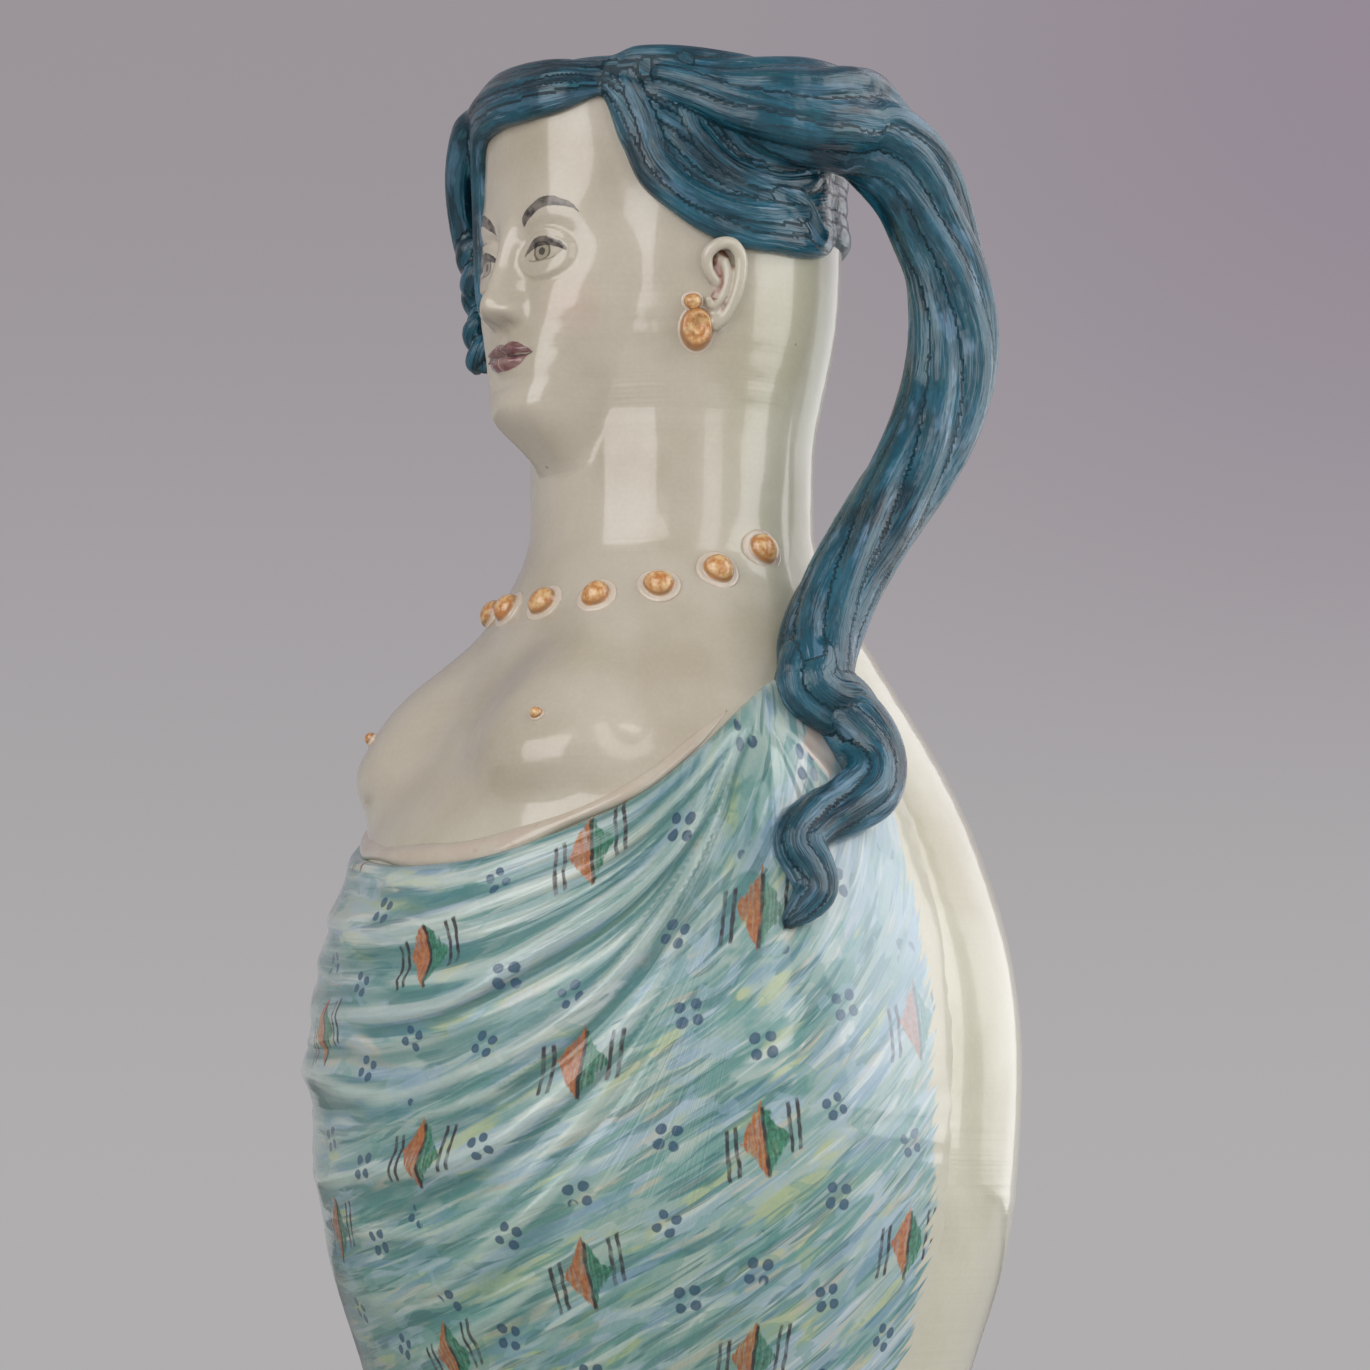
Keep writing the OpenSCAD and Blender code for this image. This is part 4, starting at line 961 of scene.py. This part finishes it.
ear_angle = 70.0
for name, sign in (("left", 1), ("right", -1)):
    low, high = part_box(f"ear_{name}")
    ear_z = (low.z + high.z) * 500

    def ear_line(places, step=0.5):
        """A line over the ear, from places across, up and out of its middle."""
        spots = [(sign * (ear_angle + x * 1.30), ear_z + y, lift) for x, y, lift in places]
        return track(on_head(spots), step)

    rim = ear_line([(-0.8, 0.5, 0.6), (-3.2, 3.6, 1.2), (-3.6, 7.0, 2.0), (-1.2, 9.6, 2.6), (2.0, 9.9, 2.8),
                    (4.2, 7.4, 2.9), (4.6, 3.2, 2.7), (3.9, -1.4, 2.4), (2.4, -5.6, 2.0), (0.4, -9.0, 1.6),
                    (-1.2, -10.2, 1.3)])
    fold = ear_line([(1.2, 6.2, 1.2), (2.0, 3.4, 1.5), (1.5, -0.6, 1.5), (-0.2, -4.0, 1.4), (-2.2, -5.2, 1.2),
                     (-3.0, -3.4, 1.2)])
    lobe = ear_line([(1.6, -6.4, 0.8), (0.2, -8.6, 1.0), (-1.8, -9.0, 0.9)])
    pad = ear_line([(0.2, 7, -0.8), (0.8, 3, -0.8), (0.4, -2, -0.8), (-0.6, -6.5, -0.8),
                    (-0.8, -9, -0.8)], 0.8)
    bars = [rope_mesh(rim, 0.95 + 0.75 * np.sin(np.linspace(0.35, 2.9, len(rim))))]
    for line, thick in ((fold, 0.9), (lobe, 1.9), (pad, 2.5)):
        bars.append(rope_mesh(line, np.full(len(line), thick)))
    ear = fuse(f"ear_{name}_modelled", bars, voxel=0.36, passes=3)
    hollow = [ear_line([(0.4, 8.2, 1.0), (3.0, 6.4, 1.6), (3.4, 2.0, 1.6), (2.6, -2.6, 1.4),
                        (1.0, -6.4, 1.4)], 0.3),
              ear_line([(-1.6, 6.4, 0.8), (-0.2, 2.6, 0.8), (0.2, -0.4, 0.8), (-1.4, -2.8, 0.8)], 0.3)]
    note_points(ear, "brushed", ease((1.5 - away_from(points_of(ear), hollow)) / 0.9))
    finish_mesh(ear)
    ear.data.materials.append(ear_glaze)
    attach(ear, "root")
    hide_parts(f"ear_{name}")

# ---------------------------------------------------------------------------
# Earrings. A small round stud over a shell-shaped drop scored with a spiral,
# both pressed from pellets of clay, in amber over a halo of slip.
stud_angle, drop_radius, turns = 61.0, 4.3, np.linspace(-180, 180, 65)
dome_shares = np.linspace(0, 1, 30)
skirt = [(1.08, 0.35), (1.16, -0.3), (1.0, -1.2), (0.0, -1.2)]     # share of the radius, height
for name, sign in (("left", 1), ("right", -1)):
    low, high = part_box(f"earring_stud_{name}")
    stud_z, stud_a = (low.z + high.z) * 500 + 0.4, sign * stud_angle
    place, out = wall_spot(stud_a, stud_z)
    stud = round_knob(f"earring_button_{name}", place, out, radius=2.1, tall=2.0, slip=0.7, seed=90 + sign)
    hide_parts(f"earring_stud_{name}")
    low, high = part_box(f"earring_drop_{name}")
    drop_z = (low.z + high.z) * 500 + 2.0
    rings = []
    for t, flat in [(t, None) for t in dome_shares] + skirt:
        w = drop_radius * t * (1 - 0.16 * np.cos(np.radians(turns - 90)))
        dx, dz = w * np.cos(np.radians(turns)) * sign, 1.22 * w * np.sin(np.radians(turns))
        spiral = np.cos(np.radians(turns) + t * 8.5)
        rise = 3.0 * np.clip(1 - t ** 3.2, 0, 1) ** 0.6 - 2.1 * bell(t, 0.36)
        rise = rise + 0.5 * spiral * bell(t - 0.62, 0.3) if flat is None else np.full_like(turns, flat)
        a = stud_a + sign * 1.6 + np.degrees(dx / 43.0)
        z = drop_z + dz
        rings.append(to_space(a, body_surface(a, z) + rise, z))
    drop = wrap_grid(f"earring_shell_{name}", np.array(rings))
    note_points(drop, "rim", np.repeat(np.append(0.56 * dome_shares, [0.8, 0.9, 1.0, 1.0]), len(turns)))
    finish_mesh(drop, merge=0.000002)
    drop.data.materials.append(amber_glaze)
    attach(drop, "root")
    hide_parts(f"earring_drop_{name}")

# ---------------------------------------------------------------------------
# Hair and handle. Long strips of clay are laid strand by strand from the
# parting round the mouth, twisted together into the handle and curled on the
# shoulder, then thumbed together and glazed blue over lighter strokes.
strands = []


def lay(line, radii):
    """Adds one strand: a line in millimetres and its thickness along it."""
    strands.append((line, radii + 0 * line[:, 0]))


def tapered(count, full, start=0.45, end=0.45):
    """Radii of a strand that thins out at both ends."""
    t = np.linspace(0, 1, count)
    return full * (start + (1 - start) * ease(t / 0.15)) * (end + (1 - end) * ease((1 - t) / 0.15))


def comb_hair(first, last, count, full, lift, seed, start=0.45, end=0.45):
    """Strands that fill the band between two lines on the head."""
    first, last = np.array(first, float), np.array(last, float)
    draw = np.random.default_rng(seed)
    for k in range(count):
        t = k / max(1, count - 1)
        line = first * (1 - t) + last * t
        line[1:-1, 1] += draw.uniform(-0.7, 0.7, len(line) - 2)
        places = track(on_head(line, lift + draw.uniform(-0.5, 0.5)), 1.6)
        radii = tapered(len(places), full * draw.uniform(0.88, 1.12), start, end)
        lay(places, radii * (1 + 0.08 * np.sin(np.linspace(0, 9, len(places)) + k)))


# near side, from the parting over the ear to the back
comb_hair([(33, 431.5, 0), (37, 426.5, 0), (42.5, 418, 0), (48, 410, 0), (56, 403, 0), (66, 398.6, 0),
           (78, 395.6, 0), (90, 395, 0), (103, 396, -0.8), (114, 397.5, -2.0), (129, 400, -4.2)],
          [(35, 436, 0), (42, 434, 0), (51, 429, 0), (60, 423.5, 0), (70, 418, 0), (80, 414, 0),
           (90, 413, 0), (101, 414, -0.8), (110, 415, -1.8), (118, 416, -2.9), (131, 417, -4.4)],
          count=6, full=3.3, lift=1.8, seed=1)
comb_hair([(34, 433.5), (42, 430), (52, 424), (62, 418), (73, 413), (83, 412), (92, 413.5)],
          [(34, 438.5), (44, 439), (56, 438.5), (68, 438), (79, 437), (88, 436), (96, 436)],
          count=6, full=3.3, lift=2.3, seed=2)
# loose locks that wave across the near side
for lock in ([(40, 434), (46, 424), (50, 414), (58, 406.5), (70, 402), (84, 401), (98, 403)],
             [(47, 436, 0), (56, 430, 0), (62, 420, 0), (72, 412, 0), (86, 409, 0), (100, 411, 0),
              (111, 414, -1)],
             [(58, 437), (66, 432), (70, 424), (78, 417), (90, 415), (104, 418)],
             [(70, 437), (80, 434), (86, 428), (96, 424), (108, 424)],
             [(88, 407, 0), (97, 405, 0), (104, 399, 0), (112, 398.5, -1)]):
    places = track(on_head(lock, 3.7), 1.6)
    lay(places, tapered(len(places), full=2.5, start=0.15, end=0.15))
# far side, the fringe that turns down into the full lock
comb_hair([(32, 431.5), (22, 430.0), (10, 428.8), (-4, 427.6), (-15, 426), (-23, 421), (-27, 411),
           (-30, 400), (-33, 389), (-36, 380), (-38, 374)],
          [(33, 438), (20, 438), (4, 438), (-12, 438), (-26, 436), (-38, 431), (-47, 423), (-53, 413),
           (-56, 404), (-55, 396), (-52, 390)], count=6, full=3.3, lift=1.6, seed=3)
comb_hair([(-20, 434, 1.5), (-30, 428, 5.5), (-37, 418, 9.0), (-42, 408, 9.0), (-46, 399, 6.5),
           (-46, 390, 2.5)],
          [(-30, 437, 1.5), (-42, 434, 5.5), (-52, 426, 9.5), (-60, 415, 9.5), (-64, 405, 6.5),
           (-62, 396, 2.5)],
          count=5, full=4.2, lift=1.2, seed=4)
comb_hair([(-44, 412), (-54, 404), (-66, 399), (-80, 396), (-94, 396), (-110, 397.5), (-138, 400)],
          [(a, 437) for a in (-46, -58, -70, -84, -98, -112, -140)],
          count=10, full=3.4, lift=0.6, seed=5, end=0.1)
# back of the head
comb_hair([(104, 400), (136, 402), (160, 402), (180, 402), (200, 402), (222, 402), (244, 400)],
          [(a, 437) for a in (106, 138, 160, 180, 200, 220, 240)],
          count=10, full=3.2, lift=-1.0, seed=6, start=0.15, end=0.1)
# the band under the handle's root
comb_hair([(97, 416, -0.6), (107, 417.5, -1), (118, 419, -1.2), (129, 420, -1.4)],
          [(99, 436, -0.6), (110, 436.5, -1), (121, 437, -1.2), (131, 437, -1.4)],
          count=6, full=3.3, lift=0.2, seed=7, start=0.4, end=0.3)
# rolled edge of the mouth
edge_a = np.arange(0, 362, 3.0)
lay(to_space(edge_a, 39.6 + 0.4 * np.sin(edge_a / 9), 438.2 + 0.5 * np.sin(edge_a / 13)) * 1000, 3.1)
lay(to_space(edge_a, 42.6 + 0.5 * np.sin(edge_a / 7 + 1), 436.6 + 0.6 * np.sin(edge_a / 11)) * 1000, 3.2)
# ringlets before the right ear
for top_z, a0, full in ((403, -43, 3.9), (393, -48, 3.6), (383.5, -45, 3.1)):
    for phase in (0, math.pi):
        t = np.linspace(0, 1, 26)
        turn = t * 5.2 + phase
        a = a0 + np.degrees((3.6 * (1 - 0.5 * t) * np.cos(turn)) / 46)
        lift = 4.2 + 2.8 * (1 - 0.5 * t) * np.sin(turn)
        z = top_z - 12.5 * t
        lay(to_space(a, np.maximum(wall(z) + 3, 45) + lift, z) * 1000,
            tapered(len(t), full * 0.8, start=0.6, end=0.5))
# handle: strands that leave the crown and twist down to the shoulder, each
# station by its angle, distance from the axis, height and radius
handle_middle = [(50, 44.0, 434, 4.5), (58, 44.5, 432, 6.0), (67, 45.5, 430, 8.0), (77, 47.0, 428.5, 10.5),
                 (88, 50, 427.5, 12.5), (100, 51.5, 427.5, 13.4), (112, 53, 426.5, 13.2),
                 (119.6, 58, 421, 12.4), (124, 64, 411.5, 11.6), (126.8, 67.6, 400.5, 11.1),
                 (128.4, 70.6, 390, 10.9), (129.4, 71.6, 380, 10.9), (129.4, 71.5, 370, 10.9),
                 (128.3, 70.2, 360, 10.8), (125.2, 68.3, 350.5, 10.6), (121.6, 65.5, 341.5, 10.3),
                 (117.4, 62.6, 333.5, 9.9), (112, 60.4, 325.5, 9.5), (106, 58.8, 317.6, 9.2),
                 (99.7, 57.9, 309.7, 9.0), (94.7, 57.9, 302, 8.9), (90.5, 59.0, 294, 8.8),
                 (88, 61.5, 287, 8.6)]
handle_full, curl_full = 1.07, 1.25
middle = track([np.append(to_space(a, r, z) * 1000, s) for a, r, z, s in handle_middle], 1.6)
centres, sizes = middle[:, :3], middle[:, 3] * handle_full
ahead, side, up = directions(centres, to_space(120, 1000, 0))


def lay_beside(turn, wide, high, radii):
    """A strand that winds round the centres at an angle and two distances."""
    lay(centres + (np.cos(turn) * wide)[:, None] * side + (np.sin(turn) * high)[:, None] * up, radii)


lay(centres, sizes * 0.80)
along = np.linspace(0, 1, len(centres))
for k in range(8):
    turn = k * 2 * math.pi / 8 + along * 3.4 + 0.25 * np.sin(along * 11 + k * 1.9)
    reach_out = sizes * (0.65 + 0.05 * np.sin(along * 17 + k * 2.4))
    lay_beside(turn, reach_out, reach_out, sizes * 0.345 * (1 + 0.12 * np.sin(along * 13 + k * 1.1)))
# curl on the drape, each station by its angle, height, radius and lift
curl_middle = [(87.5, 288, 8.2, 5.5), (85, 283, 7.6, 4.2), (87.5, 280, 7.2, 4.4), (91, 278.5, 7.2, 4.6),
               (93.3, 273.5, 7.4, 4.6), (94, 265.5, 7.3, 4.4), (90.8, 258.5, 6.9, 4.1), (85, 254, 6.2, 3.4),
               (79, 250, 5.6, 3.0), (75, 244.5, 5.2, 2.7), (76.5, 238.5, 5.0, 2.6), (77, 233.5, 4.5, 2.4),
               (74.5, 229, 3.4, 1.8), (72, 225.5, 1.7, 1.0)]
curl = []
for a, z, size, lift in np.array(curl_middle, float):
    under = body_surface(a, z) + (drape_relief(a, z) if z < neckline(a) else 0)
    curl.append(np.append(to_space(a, under + lift, z) * 1000, size))
curl = track(curl, 1.2)
centres, sizes = curl[:, :3], curl[:, 3] * curl_full
ahead, side, up = directions(centres)
lay(centres, sizes * 0.72)
along = np.linspace(0, 1, len(centres))
for k in range(5):
    lay_beside(k * 2 * math.pi / 5 + along * 3.0, sizes * 0.55, sizes * 0.45, sizes * 0.44)

hair = fuse("hair_and_handle", [rope_mesh(*strand) for strand in strands], voxel=0.8, passes=3)
# each point of the lump knows how far along and round its strand it lies
points = points_of(hair)
finder = kdtree.KDTree(sum(len(line) for line, _ in strands))
samples = []
for number, (line, _) in enumerate(strands):
    walked = np.concatenate([[0], np.cumsum(np.linalg.norm(np.diff(line, axis=0), axis=1))])
    for along, centre, *axes in zip(walked, line, *directions(line)):
        finder.insert(centre, len(samples))
        samples.append((number, along, centre, *axes))
finder.balance()
strand_note = np.zeros((len(points), 3))
for i, p in enumerate(points):
    number, walked, centre, forward, sideways, upward = samples[finder.find(p)[1]]
    d = p - centre
    turned = math.atan2(d @ sideways, d @ upward)
    strand_note[i] = walked + d @ forward, turned * 3.2 + number * 23.7, number
note_points(hair, "strand", strand_note)
finish_mesh(hair)

hair_glaze, tree, surface = new_material("hair_glaze")
where, angle, height = surface_places(tree)
u, v = noted(tree, "strand", 0), noted(tree, "strand", 1)


def hair_streak(length, breadth, seed):
    return drawn_out(tree, u / length, v / breadth, seed, 3.0, 0.55)


wash = grain(tree, where, 55, 3.0).span(0.35, 0.65)
low_hair = height.span(440, 385, 0.2, 0.44)
speck = grain(tree, where, 900, 2.0).span(0.62, 0.75)
colour = coats(tree, tone("#05303e"), (wash, "#145467"),
               (hair_streak(16, 3.6, 1.0).span(0.50, 0.62) * 0.6, "#2c6b82"),
               (hair_streak(18, 5.0, 4.0).span(0.56, 0.64) * low_hair, "#7299b8"),
               (hair_streak(14, 2.4, 8.0).span(0.56, 0.66) * 0.7, "#1f5a64"),
               (hair_streak(20, 2.0, 12.0).span(0.64, 0.72) * 0.32, "#9cc0dc"),
               (hair_streak(18, 1.8, 17.0).span(0.58, 0.68) * 0.65, "#15303f"), (speck * 0.06, "#9dbccb"))
comb = hair_streak(30, 1.1, 21.0) * 2.0 + hair_streak(26, 3.2, 25.0) * 5.0
glaze_over(tree, surface, colour, clouds=0.2, specks=0.2, relief=comb, depth=0.00026, coat=0.25)
hair.data.materials.append(hair_glaze)
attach(hair, "root")
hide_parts("hair_rim_left", "hair_rim_right", "hair_wave_left", "hair_wave_back", "hair_wave_right",
            "ringlet_upper", "ringlet_middle", "ringlet_lower", "handle", "handle_curl")

bpy.ops.object.select_all(action="DESELECT")
